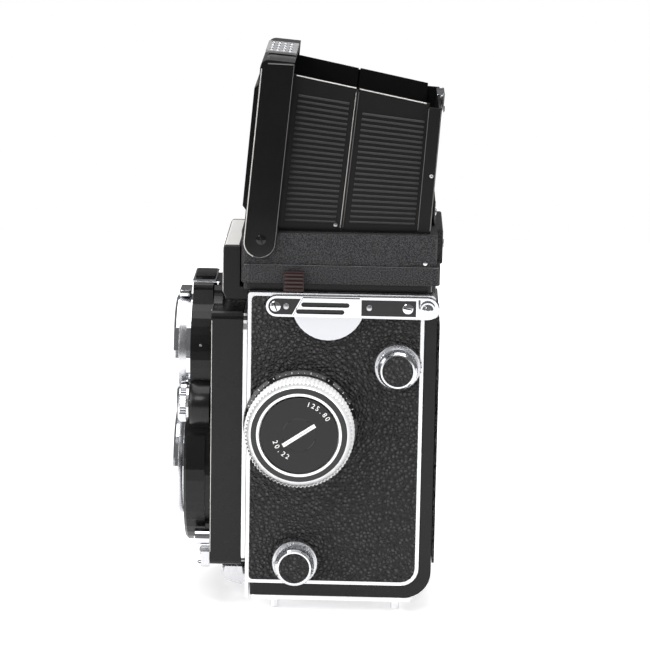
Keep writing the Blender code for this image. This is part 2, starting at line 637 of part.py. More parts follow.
def front_controls():
    """The two setting wheels, the release with its guard, the flash socket and the timer lever."""
    wheel_rear = UPPER_FRONT - GAP
    for name, side in (("aperture_wheel", 1), ("shutter_speed_wheel", -1)):
        x = side * WHEEL_X
        profile = [(0.0, wheel_rear - 4.2), (WHEEL_RADIUS - 0.6, wheel_rear - 4.2),
                   (WHEEL_RADIUS, wheel_rear - 3.6),
                   (WHEEL_RADIUS, wheel_rear), (1.5, wheel_rear), (1.5, UPPER_FRONT + 4.0), (0.0,
                                                                                             UPPER_FRONT
                                                                                             + 4.0)]
        publish(name, turned(profile, 1, (x, WHEEL_Z), 28), "satin metal", (x, wheel_rear, WHEEL_Z))
    press = RELEASE_X
    rear = STANDARD_FRONT - GAP
    profile = [(0.0, rear - 6.6), (3.0, rear - 6.6), (3.4, rear - 6.0), (3.4, rear - 2.9), (1.2, rear - 2.9),
               (1.2, rear + 3.0), (0.0, rear + 3.0)]
    publish("release_button", turned(profile, 1, (-press, RELEASE_Z), 20), "chrome",
            (-press, rear, RELEASE_Z))
    guard = turned([(3.4 + GAP, rear - 4.6), (4.7, rear - 4.6), (4.7, rear), (3.4 + GAP, rear)], 1,
                   (-press, RELEASE_Z), 24)
    publish("release_guard", guard, "satin metal", (-press, rear, RELEASE_Z))
    profile = [(1.6, rear - 6.0), (2.7, rear - 6.0), (3.1, rear - 5.6), (3.1, rear), (0.0, rear),
               (0.0, rear - 3.0),
               (1.6, rear - 3.0)]
    publish("flash_socket", turned(profile, 1, (press, RELEASE_Z + 2.2), 20), "chrome")


TIMER_X, TIMER_Z = 26.6, 21.0


def timer_lever():
    rear = STANDARD_FRONT - GAP
    outline = arc((TIMER_X, TIMER_Z), 2.0, 0, 180, 8) + arc((TIMER_X, TIMER_Z - 5.2), 1.4, 180, 360, 8)
    publish("timer_lever", slab(outline, 1, rear - 3.2, rear), "satin metal", (TIMER_X, rear, TIMER_Z))


# ---- knobs, spindles and crank ------------------------------------------------------------
def focusing():
    base = BODY_HALF + 0.5
    ring = turned([(SHAFT_RADIUS + 2.0, base), (KNOB_RADIUS + 1.6, base), (KNOB_RADIUS + 1.6, base + 1.2),
                   (KNOB_RADIUS + 0.4, base + 2.2), (SHAFT_RADIUS + 2.0, base + 2.2)], 0, (KNOB_Y,
                                                                                           KNOB_Z), 40)
    publish("focus_scale_ring", ring, "gloss black")
    low = base + 2.2 + GAP
    high = OUTER_X
    dial_radius = 14.9
    profile = [(0.0, high - 3.4), (dial_radius + GAP, high - 3.4), (dial_radius + GAP, high - 0.9),
               (16.4, high - 0.3),
               (18.2, high - 0.3), (KNOB_RADIUS, high - 2.2), (KNOB_RADIUS, low + 1.0), (KNOB_RADIUS - 1.0,
                                                                                         low),
               (SHAFT_RADIUS, low), (SHAFT_RADIUS, -34.0), (0.0, -34.0)]
    knob = publish("focus_knob", turned(profile, 0, (KNOB_Y, KNOB_Z), 40), "satin metal",
                   (0, KNOB_Y, KNOB_Z))
    cut(knob, rod(0, (KNOB_Y, KNOB_Z), 1.6 + FIT, high - 7.0, high - 3.0, 12))
    for middle in (RACK_X, -RACK_X):
        join(knob, rod(0, (KNOB_Y, KNOB_Z), PINION_RADIUS, middle - 1.2, middle + 1.2, 20))
    profile = [(0.0, high), (dial_radius - 0.3, high), (dial_radius, high - 0.4), (dial_radius, high - 3.1),
               (1.6, high - 3.1), (1.6, high - 6.4), (0.0, high - 6.4)]
    publish("film_speed_dial", turned(profile, 0, (KNOB_Y, KNOB_Z), 36), "gloss black", (0, KNOB_Y, KNOB_Z))


def spool_knob(level, y, z):
    """A spindle that is pulled out to free the spool, and the knob that turns on it."""
    base = BODY_HALF + 0.5
    hole, neck = SPINDLE_RADIUS + FIT, 1.2
    bezel = [(hole + 0.6, base), (9.1, base), (8.7, base + 2.0), (hole + 0.6, base + 2.0)]
    publish(f"{level}_spool_bezel", turned(bezel, 0, (y, z), 32), "satin metal")
    low, end = base + 2.0 + GAP, BODY_HALF + SPOOL_KNOB_REACH
    collar, seat = end - 4.8, end - 3.2
    spindle = [(0.0, SPOOL_HALF - 5.2), (SPINDLE_RADIUS, SPOOL_HALF - 5.2), (SPINDLE_RADIUS, collar),
               (neck, collar),
               (neck, seat), (SPINDLE_RADIUS, seat), (SPINDLE_RADIUS, seat + 1.0), (0.0, seat + 1.0)]
    publish(f"{level}_spool_spindle", turned(spindle, 0, (y, z), 16), "satin metal", (0, y, z))
    knob = [(hole, low), (6.9, low), (7.3, low + 0.5), (7.3, end - 0.9), (6.7, end), (0.0, end),
            (0.0, seat + 1.4),
            (hole, seat + 1.4), (hole, seat - 0.4), (neck + FIT, seat - 0.4), (neck + FIT, collar + 0.4),
            (hole, collar + 0.4)]
    publish(f"{level}_spool_knob", turned(knob, 0, (y, z), 32), "chrome", (0, y, z))


CRANK_ARM = 33.0
CRANK_TURN = -128.0    # direction of the arm at rest, degrees from +Y towards +Z


def crank():
    """The film crank: a dished hub, an arm, and a handle that folds flat along the arm."""
    outer, inner = -BODY_HALF - 8.4, -BODY_HALF - 0.5
    ring = turned([(SHAFT_RADIUS + 2.0, inner), (15.5, inner), (15.5, inner - 1.2), (14.5, inner - 2.0),
                   (SHAFT_RADIUS + 2.0, inner - 2.0)], 0, (CRANK_Y, CRANK_Z), 36)
    publish("crank_plate", ring, "gloss black")
    hub_in = inner - 2.0 - GAP
    profile = [(0.0, outer), (11.2, outer), (12.0, outer + 0.8), (12.0, hub_in), (SHAFT_RADIUS, hub_in),
               (SHAFT_RADIUS, -33.0), (0.0, -33.0)]
    hub = publish("film_crank", turned(profile, 0, (CRANK_Y, CRANK_Z), 32), "satin metal",
                  (0, CRANK_Y, CRANK_Z))
    turn = math.radians(CRANK_TURN)
    place = Matrix.Translation((0, CRANK_Y, CRANK_Z)) @ Matrix.Rotation(turn, 4, "X")
    arm = slab([(0.0, -4.0)] + arc((CRANK_ARM, 0.0), 4.0, -90, 90, 8) + [(0.0, 4.0)], 0, outer, outer + 3.0)
    join(hub, moved(arm, place))
    handle_x = -OUTER_X + 2.6
    ear_low, ear_high = handle_x - 1.8, outer + 0.5
    for side in (1, -1):
        low, high = sorted((side * 2.6, side * 4.0))
        ear = slab(rounded(CRANK_ARM - 1.6, CRANK_ARM + 1.6, low, high, 0.0), 0, ear_low, ear_high)
        join(hub, moved(ear, place))
    grip = [(-OUTER_X, CRANK_ARM + 1.8), (-OUTER_X, CRANK_ARM - 20.0), (handle_x + 2.4, CRANK_ARM - 20.0),
            (handle_x + 2.4, CRANK_ARM + 1.8)]
    handle = bmesh.new()
    rings = [[handle.verts.new((x, along, width)) for x, along in grip] for width in (-2.2, 2.2)]
    handle.faces.new(rings[0])
    handle.faces.new(rings[1])
    for i in range(4):
        j = (i + 1) % 4
        handle.faces.new((rings[0][i], rings[0][j], rings[1][j], rings[1][i]))
    bmesh.ops.bevel(handle, geom=[e for e in handle.edges], offset=0.8, segments=2, profile=0.5,
                    affect="EDGES")
    pivot = place @ Vector((handle_x, CRANK_ARM, 0.0))
    publish("crank_handle", moved(handle, place), "satin metal", pivot)


# ---- the hood -----------------------------------------------------------------------------
def lid_place(along, across):
    """A point of the lid's own frame: along it from its foot, and across it to the rear."""
    lean = math.radians(LID_LEAN)
    return (LID_FOOT_Y + along * math.sin(lean) + across * math.cos(lean),
            LID_FOOT_Z + along * math.cos(lean) - across * math.sin(lean))


def back_place(along, across):
    """A point of the back panel's frame: up its outer face from the hood base, and forward."""
    lean = math.radians(BACK_LEAN)
    foot_y, foot_z = HOOD_REAR - 2.8, HOOD_TOP + GAP
    return (foot_y + along * math.sin(lean) - across * math.cos(lean),
            foot_z + along * math.cos(lean) + across * math.sin(lean))


def hood_base():
    lower = block((-HOOD_HALF - 0.8, HOOD_HALF + 0.8), (HOOD_FRONT, HOOD_REAR + 1.3),
                  (HOOD_BASE, HOOD_STEP), 3.0)
    base = publish("hood_base", lower, "wrinkle paint")
    join(base, block((-HOOD_HALF, HOOD_HALF), (HOOD_FRONT, HOOD_REAR), (HOOD_STEP - 2, HOOD_TOP), 2.6))
    join(base, block((-20.0, 20.0), (HOOD_REAR - 2, HOOD_REAR + 2.3), (HOOD_STEP - 1.1, HOOD_TOP - 0.1),
                     0.8, 0))
    cut(base, block((-HOOD_OPENING, HOOD_OPENING), (-21.0, 45.0), (HOOD_BASE - 3, HOOD_TOP + 3), 1.0))


LID_HALF = HOOD_HALF + 1.5
FLAP_HALF = 24.0
FLAP_LOW, FLAP_HIGH = 9.0, 59.0
LID_WALL = 1.1
LID_FRONT = -LID_DEPTH / 2


def hood_lid():
    half_depth = LID_DEPTH / 2
    flat = arc((0.0, 0.0), half_depth, 180, 360, 10)
    flange = [lid_place(a, b) for b, a in flat]
    flange += [lid_place(LID_LENGTH, half_depth)]
    flange += [lid_place(LID_LENGTH - 3 + b, -half_depth + 3 + a) for a,
               b in arc((0.0, 0.0), 3.0, 90, 180, 4)]
    lid = publish("hood_lid", slab(flange, 0, -LID_HALF, LID_HALF), "gloss black")
    inner = LID_HALF - LID_WALL
    front = LID_FRONT + LID_WALL
    roof = LID_LENGTH - 1.2
    hollow = [lid_place(-9, front), lid_place(-9, 12), lid_place(roof, 12), lid_place(roof, front)]
    cut(lid, slab(hollow, 0, -inner, inner))
    foot = HOOD_TOP + GAP
    cut(lid, slab([(-40.0, 120.0), (5.0, 120.0), (5.0, foot), (-40.0, foot)], 0, -inner, inner))
    window = [lid_place(FLAP_LOW, -12), lid_place(FLAP_LOW, 0), lid_place(FLAP_HIGH, 0),
              lid_place(FLAP_HIGH, -12)]
    cut(lid, slab(window, 0, -FLAP_HALF - GAP, FLAP_HALF + GAP))
    low, high = LID_LENGTH + GAP, LID_LENGTH + GAP + 0.8
    tab = [lid_place(low, -5.6), lid_place(low, 6.2), lid_place(high, 6.2), lid_place(high, -5.6)]
    publish("lid_lift_plate", slab(tab, 0, -16.0, 16.0), "chrome")


def finder_flap():
    """The panel of the lid that swings in for the sports finder, hinged at its lower edge."""
    low, high = FLAP_LOW + GAP, FLAP_HIGH - GAP
    face = LID_FRONT - 1.8
    rear = LID_FRONT + LID_WALL
    outline = [lid_place(low, rear), lid_place(low, LID_FRONT), lid_place(low + 2.0, face),
               lid_place(high - 2.0, face),
               lid_place(high, LID_FRONT), lid_place(high, rear)]
    hinge = lid_place(low, rear)
    publish("finder_flap", slab(outline, 0, -FLAP_HALF, FLAP_HALF), "gloss black", (0, *hinge))


MAGNIFIER_ALONG = 52.0


def magnifier():
    """A lens in a ring, folded down against the flap and hinged near the flap's top."""
    lean = Matrix.Rotation(math.radians(-LID_LEAN), 4, "X")
    rear = LID_FRONT + LID_WALL + GAP
    y, z = lid_place(0.0, 0.0)
    place = Matrix.Translation((0, y, z)) @ lean
    centre = MAGNIFIER_ALONG - 19.0
    profile = [(13.2, rear + 0.2), (15.4, rear + 0.2), (15.4, rear + 2.8), (13.2, rear + 2.8)]
    pivot = place @ Vector((0.0, rear + 1.5, MAGNIFIER_ALONG))
    ring = moved(turned(profile, 1, (0.0, centre), 32), place)
    frame = publish("magnifier_frame", ring, "black paint", pivot)
    join(frame, moved(block((-4.5, 4.5), (rear + 0.3, rear + 2.7), (centre + 14.6, MAGNIFIER_ALONG + 1.0)),
                      place))
    bulge = 1.2
    glass = [(0.0, rear + 0.4), (8.0, rear + 0.6), (13.2 - GAP, rear + 1.0), (13.2 - GAP, rear + 1.9),
             (8.0, rear + 1.9 + bulge * 0.6), (0.0, rear + 1.9 + bulge)]
    publish("magnifier_lens", moved(turned(glass, 1, (0.0, centre), 28), place), "glass")


LEAF_OUT = 29.8
LEAF_THICK = 1.0
FRONT_HINGE = 5.0      # the front leaf's hinge line, across the lid
REAR_HINGE = 4.7       # the rear leaf's hinge line, in front of the back's outer face
CENTRE_LOW, CENTRE_HIGH = (12.7, 150.1), (18.0, 205.0)


def leaf_top(y):
    """Height of the side walls' upper edge at a distance from the front."""
    return CENTRE_HIGH[1] - (y - CENTRE_HIGH[0]) * math.tan(math.radians(LEAF_TOP_SLOPE))


def leaf_pair(side, name):
    """One side wall: two leaves with the shared hinge line left open between them."""
    low_x, high_x = sorted((side * (LEAF_OUT - LEAF_THICK), side * LEAF_OUT))
    foot = CENTRE_LOW[1]
    middle = side * (LEAF_OUT - LEAF_THICK / 2)
    lean = math.radians(LID_LEAN)
    bottom = lid_place((foot - LID_FOOT_Z + FRONT_HINGE * math.sin(lean)) / math.cos(lean), FRONT_HINGE)
    top = lid_place(64.6, FRONT_HINGE)
    half_gap = 0.35
    front = [bottom, (CENTRE_LOW[0] - half_gap, foot), (CENTRE_HIGH[0] - half_gap,
                                                        leaf_top(CENTRE_HIGH[0])), top]
    publish(f"{name}_front_leaf", slab(front, 0, low_x, high_x), "black paint", (middle, *bottom))
    rear_bottom = back_place(0.0, REAR_HINGE)
    rear_bottom = (rear_bottom[0], foot)
    rear_top = back_place(BACK_HEIGHT + 1.5, REAR_HINGE)
    rear = [(CENTRE_LOW[0] + half_gap, foot), rear_bottom, (rear_top[0], leaf_top(rear_top[0])),
            (CENTRE_HIGH[0] + half_gap, leaf_top(CENTRE_HIGH[0]))]
    publish(f"{name}_rear_leaf", slab(rear, 0, low_x, high_x), "black paint", (middle, *rear_bottom))


def hood_back():
    depth, thick = 5.0, 1.2
    half = LEAF_OUT + GAP + 1.0
    outline = [back_place(0.0, 0.0), back_place(BACK_HEIGHT, 0.0), back_place(BACK_HEIGHT, depth),
               back_place(0.0, depth)]
    back = publish("hood_back", slab(outline, 0, -half, half), "black paint")
    inner = half - 1.0
    hollow = [back_place(-3.0, thick), back_place(BACK_HEIGHT + 3, thick), back_place(BACK_HEIGHT + 3, 9.0),
              back_place(-3.0, 9.0)]
    cut(back, slab(hollow, 0, -inner, inner))
    cut(back, block((-7.0, 7.0), (40.0, 55.0), (182.0, 190.0), 1.0, 1))


def hood_latch(side, name):
    """The ribbed slide on the hood's side that frees the hood from the body."""
    near = HOOD_HALF + 0.8 + GAP
    low, high = sorted((side * near, side * (near + 1.7)))
    made = block((low, high), (-8.8, -1.1), (127.5, 135.3), 0.5, 0)
    publish(name, made, "plastic", (side * near, -5.0, 131.4))


def main():
    clear_scene()
    body_casting()
    leather_panel(1, "left_leather")
    leather_panel(-1, "right_leather")
    front_plate()
    film_gate()
    reflex_mirror()
    spool("takeup_spool", TAKEUP_Y, TAKEUP_Z)
    spool("supply_spool", SUPPLY_Y, SUPPLY_Z)
    for name in ROLLERS:
        film_roller(name)
    screen_parts()
    meter()
    strap_plate(1, "left_strap_plate")
    strap_plate(-1, "right_strap_plate")
    back_door()
    door_base()
    door_latch()
    pressure_plate()
    lens_standard()
    lens_board()
    lenses()
    front_controls()
    timer_lever()
    focusing()
    spool_knob("upper", TAKEUP_Y, TAKEUP_Z)
    spool_knob("lower", SUPPLY_Y, SUPPLY_Z)
    crank()
    hood_base()
    hood_lid()
    finder_flap()
    magnifier()
    leaf_pair(1, "left")
    leaf_pair(-1, "right")
    hood_back()
    hood_latch(1, "left_hood_latch")
    hood_latch(-1, "right_hood_latch")


main()
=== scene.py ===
import math

import bpy
from mathutils import Matrix, Vector


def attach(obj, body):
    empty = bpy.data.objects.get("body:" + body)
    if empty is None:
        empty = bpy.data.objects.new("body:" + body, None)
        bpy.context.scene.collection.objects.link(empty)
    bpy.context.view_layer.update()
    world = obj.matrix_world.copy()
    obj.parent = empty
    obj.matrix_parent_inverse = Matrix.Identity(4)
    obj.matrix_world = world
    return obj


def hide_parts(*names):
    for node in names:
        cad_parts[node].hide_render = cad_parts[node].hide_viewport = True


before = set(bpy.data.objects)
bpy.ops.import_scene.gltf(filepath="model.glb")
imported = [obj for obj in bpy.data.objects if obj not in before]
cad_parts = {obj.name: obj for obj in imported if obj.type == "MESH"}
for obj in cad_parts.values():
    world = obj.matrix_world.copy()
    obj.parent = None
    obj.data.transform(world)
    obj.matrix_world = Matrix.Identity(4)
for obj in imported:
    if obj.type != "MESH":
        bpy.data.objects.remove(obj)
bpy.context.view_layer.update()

MM = 0.001

# ==== Camera, floor and lights ===========================================================
# The camera stands off to the focusing knob's side, a little above the model and looking down
# on it, with a long lens. The floor is pale, and large soft lights stand above and to the left.
LENS_MM = 156.88
TARGET = Vector((38.0, 7.25, 115.06)) * MM
DISTANCE = 1.07925
YAW, PITCH, ROLL = (math.radians(a) for a in (1.12, 12.48, 0.98))


def nothing_selected():
    """Leave edit mode and clear the selection, so that the next operator acts only on its own piece."""
    if bpy.context.object and bpy.context.object.mode != "OBJECT":
        bpy.ops.object.mode_set(mode="OBJECT")
    bpy.ops.object.select_all(action="DESELECT")


nothing_selected()
forward = Vector((-math.cos(PITCH) * math.cos(YAW), -math.cos(PITCH) * math.sin(YAW), -math.sin(PITCH)))
level = Vector((-math.sin(YAW), math.cos(YAW), 0.0))
upward = level.cross(forward)
across = level * math.cos(ROLL) + upward * math.sin(ROLL)
upright = upward * math.cos(ROLL) - level * math.sin(ROLL)
bpy.ops.object.camera_add(location=TARGET - forward * DISTANCE)
camera = bpy.context.object
turn = Matrix((across, upright, -forward)).transposed().to_4x4()
camera.matrix_world = Matrix.Translation(TARGET - forward * DISTANCE) @ turn
camera.data.lens = LENS_MM
camera.data.sensor_width = 36.0
bpy.context.scene.camera = camera

nothing_selected()
bpy.ops.mesh.primitive_plane_add(size=1.5, location=(0.0, 0.0, -0.0002))
floor = bpy.context.object
floor.name = "studio_floor"
floor_look = bpy.data.materials.new("studio_floor")
floor_look.use_nodes = True
floor_shader = floor_look.node_tree.nodes["Principled BSDF"]
floor_shader.inputs["Base Color"].default_value = (0.97, 0.97, 0.97, 1.0)
floor_shader.inputs["Roughness"].default_value = 0.35
floor_shader.inputs["Specular IOR Level"].default_value = 0.25
floor_shader.inputs["Emission Color"].default_value = (1.0, 1.0, 1.0, 1.0)
floor_shader.inputs["Emission Strength"].default_value = 0.3
floor.data.materials.append(floor_look)

world = bpy.data.worlds.new("studio")
bpy.context.scene.world = world
world.use_nodes = True
surround = world.node_tree.nodes["Background"]
surround.inputs["Color"].default_value = (1.0, 1.0, 1.0, 1.0)
seen = world.node_tree.nodes.new("ShaderNodeLightPath")
strength = world.node_tree.nodes.new("ShaderNodeMapRange")
strength.inputs["To Min"].default_value = 0.16
strength.inputs["To Max"].default_value = 1.0
world.node_tree.links.new(seen.outputs["Is Camera Ray"], strength.inputs["Value"])
world.node_tree.links.new(strength.outputs["Result"], surround.inputs["Strength"])
bpy.context.scene.view_settings.view_transform = "Standard"

LIGHTS = (
    ("front_softbox", (0.45, -1.1, 0.55), 0.8, 10.0),
    ("rear_softbox", (0.5, 1.15, 0.75), 0.7, 7.0),
    ("top_softbox", (-0.1, 0.0, 1.6), 2.0, 42.0),
    ("knob_side_softbox", (1.3, -0.75, 1.1), 0.5, 7.0),
)
for light_name, place, size, power in LIGHTS:
    nothing_selected()
    bpy.ops.object.light_add(type="AREA", location=place)
    light = bpy.context.object
    light.name = light_name
    light.data.shape = "SQUARE"
    light.data.size = size
    light.data.energy = power
    aim = Vector((0.0, 0.0, 0.11)) - Vector(place)
    light.rotation_euler = aim.to_track_quat("-Z", "Y").to_euler()


# ==== Casting, front plate and what stands inside ===========================================
# The body is a die-cast box with satin borders and an enamelled front, and the front plate is
# screwed to it. The film gate, the mirror and the ground-glass screen are fixed inside.
class Value:
    """A node's output that can be added, subtracted, multiplied, divided and fed to other nodes."""

    def __init__(self, tree, socket):
        self.tree, self.socket = tree, socket

    def math(self, operation, *others, swap=False):
        made = self.tree.nodes.new("ShaderNodeMath")
        made.operation = operation
        operands = (self,) + others
        for slot, operand in zip(made.inputs, reversed(operands) if swap else operands):
            if isinstance(operand, Value):
                self.tree.links.new(operand.socket, slot)
            else:
                slot.default_value = operand
        return Value(self.tree, made.outputs[0])

    def node(self, kind, output, settings=None, into="Vector", **inputs):
        """Any other node: this value goes into one of its inputs, and further inputs are named."""
        made = self.tree.nodes.new(kind)
        for key, setting in (settings or {}).items():
            setattr(made, key, setting)
        self.tree.links.new(self.socket, made.inputs[into])
        for key, value in inputs.items():
            slot = made.inputs[key.replace("_", " ")]
            if isinstance(value, Value):
                self.tree.links.new(value.socket, slot)
            else:
                slot.default_value = value
        return Value(self.tree, made.outputs[output])

    def __add__(self, other): return self.math("ADD", other)
    def __radd__(self, other): return self.math("ADD", other, swap=True)
    def __sub__(self, other): return self.math("SUBTRACT", other)
    def __rsub__(self, other): return self.math("SUBTRACT", other, swap=True)
    def __mul__(self, other): return self.math("MULTIPLY", other)
    def __rmul__(self, other): return self.math("MULTIPLY", other, swap=True)
    def __truediv__(self, other): return self.math("DIVIDE", other)
    def __rtruediv__(self, other): return self.math("DIVIDE", other, swap=True)


class Finish:
    """A material under construction: its place in millimetres, its patterns and its shader."""

    def __init__(self, name, colour, roughness, metallic=0.0, coat=0.0, specular=0.5):
        self.material = bpy.data.materials.new(name)
        self.material.use_nodes = True
        self.tree = self.material.node_tree
        self.shader = self.tree.nodes["Principled BSDF"]
        self.shader.inputs["Base Color"].default_value = (*colour, 1.0)
        self.shader.inputs["Roughness"].default_value = roughness
        self.shader.inputs["Metallic"].default_value = metallic
        self.shader.inputs["Coat Weight"].default_value = coat
        self.shader.inputs["Coat Roughness"].default_value = 0.08
        self.shader.inputs["Specular IOR Level"].default_value = specular
        place = self.tree.nodes.new("ShaderNodeTexCoord")
        self.place = Value(self.tree, place.outputs["Object"])
        split = self.tree.nodes.new("ShaderNodeSeparateXYZ")
        self.tree.links.new(place.outputs["Object"], split.inputs[0])
        self.x, self.y, self.z = (Value(self.tree, split.outputs[i]) * 1000.0 for i in range(3))

    def noise(self, per_mm, detail=3.0):
        return self.place.node("ShaderNodeTexNoise", 0, Scale=per_mm * 1000.0, Detail=detail)

    def cells(self, per_mm, feature="F1"):
        return self.place.node("ShaderNodeTexVoronoi", 0, {"feature": feature}, Scale=per_mm * 1000.0)

    def drive(self, name, value):
        self.tree.links.new(value.socket, self.shader.inputs[name])
        return self

    def bump(self, height, depth_mm, strength=1.0):
        made = height.node("ShaderNodeBump", 0, into="Height", Strength=strength, Distance=depth_mm * MM)
        return self.drive("Normal", made)

    def between(self, share, first, second):
        """The base colour goes from the first to the second as share goes from 0 to 1."""
        mix = self.tree.nodes.new("ShaderNodeMix")
        mix.data_type = "RGBA"
        self.tree.links.new(share.socket, mix.inputs["Factor"])
        mix.inputs[6].default_value = (*first, 1.0)
        mix.inputs[7].default_value = (*second, 1.0)
        self.tree.links.new(mix.outputs[2], self.shader.inputs["Base Color"])
        return self


def casting_look():
    """The casting: bare satin plating on the side borders and edges, black enamel in front and behind."""
    look = Finish("casting_plate", (0.8, 0.8, 0.82), 0.26, metallic=1.0)
    side = look.x.math("ABSOLUTE").math("GREATER_THAN", 36.6)
    lip = look.z.math("LESS_THAN", 11.0)
    top = look.z.math("GREATER_THAN", 125.8)
    bright = (side + lip + top).math("MINIMUM", 1.0)
    look.between(bright, (0.006, 0.006, 0.0065), (0.8, 0.8, 0.82))
    look.drive("Metallic", bright)
    look.drive("Roughness", 0.24 + look.noise(0.3, 6.0) * 0.08)
    look.bump(look.noise(5.0, 4.0), 0.003, 0.5)
    return look.material


def edged_plate():
    """Black enamel whose outer millimetre is left as bare bright metal."""
    look = Finish("edged_front_plate", (0.012, 0.012, 0.013), 0.3)
    rim = look.x.math("ABSOLUTE").math("GREATER_THAN", 35.4)
    low, high = look.z.math("LESS_THAN", 19.4), look.z.math("GREATER_THAN", 117.2)
    bright = (rim + low + high).math("MINIMUM", 1.0)
    look.between(bright, (0.006, 0.006, 0.0065), (0.8, 0.8, 0.82))
    look.drive("Metallic", bright)
    look.drive("Roughness", 0.32 - bright * 0.06 + look.noise(0.3) * 0.05)
    return look.material


def enamel(name, roughness, grain_mm=0.006, colour=(0.006, 0.006, 0.0065), coat=0.1):
    """Black enamel on metal, with a faint orange peel and uneven polish."""
    look = Finish(name, colour, roughness, coat=coat, specular=0.2)
    look.bump(look.noise(1.4, 2.0), grain_mm, 0.6)
    look.drive("Roughness", roughness - 0.06 + look.noise(0.12, 5.0) * 0.14)
    return look.material


def metal(name, colour, roughness, grain_mm=0.003, metallic=1.0):
    """Plated metal whose polish varies, with hairline scratches."""
    look = Finish(name, colour, roughness, metallic=metallic)
    look.drive("Roughness", (roughness - 0.04) + look.noise(0.25, 6.0) * 0.1)
    look.bump(look.noise(5.0, 4.0), grain_mm, 0.5)
    shade = look.noise(0.09, 5.0)
    look.between(shade, tuple(c * 0.9 for c in colour), tuple(min(1.0, c * 1.06) for c in colour))
    return look.material


def frosted():
    """The focusing screen: fine ground glass with ruled guide lines."""
    look = Finish("focusing_screen_glass", (0.75, 0.78, 0.8), 0.35, coat=0.4)
    lines = None
    for value, places in ((look.x, (-18.0, 0.0, 18.0)), (look.y, (-6.0, 12.0, 30.0))):
        for middle in places:
            line = (value - middle).math("ABSOLUTE").math("LESS_THAN", 0.12)
            lines = line if lines is None else lines + line
    look.between(lines.math("MINIMUM", 1.0), (0.6, 0.63, 0.66), (0.03, 0.03, 0.03))
    look.bump(look.noise(9.0, 2.0), 0.01, 0.5)
    return look.material


def filed(look):
    """Return the finish as it is."""
    return look


def dress(look, *names):
    """Give CAD pieces this finish in place of the frame's plain one."""
    for name in names:
        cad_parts[name].data.materials.clear()
        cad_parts[name].data.materials.append(look)


ENAMEL = enamel("black_enamel", 0.26)
INNER_BLACK = enamel("inner_flat_black", 0.7, 0.02, (0.008, 0.008, 0.008), 0.0)
MIRROR = filed(metal("silvered_glass", (0.95, 0.95, 0.96), 0.02, 0.0002))
dress(casting_look(), "body_casting")
dress(edged_plate(), "front_plate")
dress(INNER_BLACK, "film_gate")
dress(ENAMEL, "screen_frame")
dress(MIRROR, "reflex_mirror")
dress(frosted(), "focusing_screen")


# ==== Film spools, spindles and rollers =====================================================
# The spools are moulded black plastic on steel spindles that pull out to let them go, and the
# film runs over two steel rollers, pressed flat by a blackened plate on the door.
PLASTIC = filed(enamel("black_moulding", 0.42, 0.012, (0.008, 0.008, 0.008), 0.0))
STEEL = filed(metal("turned_steel", (0.5, 0.5, 0.52), 0.3))
DARK = filed(metal("blackened_metal", (0.07, 0.07, 0.075), 0.34, 0.01))
dress(PLASTIC, "supply_spool", "takeup_spool")
dress(STEEL, "upper_spool_spindle", "lower_spool_spindle", "upper_film_roller", "lower_film_roller")
dress(DARK, "pressure_plate")


# ==== Leather panels ========================================================================
# Pebbled leather is cut to a panel for each side and for the door, and glued inside the bare
# metal borders. The pebbles are about a millimetre and a half across.
def leather():
    """Pebbled leather: domes of about a millimetre and a half with creases between them; the dome tops are
    painted lighter as a painted highlight and the rest darker as painted shade.
    """
    look = Finish("black_leather", (0.018, 0.016, 0.016), 0.34, specular=0.36)
    wander = look.noise(0.9, 2.0) * 0.55
    domes = (1.0 - look.cells(0.66) * 1.35 - wander + 0.25).math("MAXIMUM", 0.0)
    creases = look.cells(0.66, "DISTANCE_TO_EDGE").math("MINIMUM", 0.16) * 3.0
    height = domes * 0.9 + creases
    look.bump(height + look.noise(4.0) * 0.1, 0.85, 1.0)
    look.drive("Roughness", 0.3 + look.noise(0.8) * 0.2)
    # Painted light: the colour is lighter on the dome tops, a painted highlight, and darker elsewhere down
    # into the creases, painted shade.
    painted_crown_highlight = ((height - 0.72) * 2.4).math("MAXIMUM", 0.0).math("MINIMUM", 1.0) * (0.35 + look.noise(0.4, 3.0))
    look.between(painted_crown_highlight.math("MINIMUM", 1.0), (0.0025, 0.0023, 0.0023), (0.05, 0.047, 0.05))
    return look.material


LEATHER = filed(leather())
dress(LEATHER, "left_leather", "right_leather", "rear_leather")
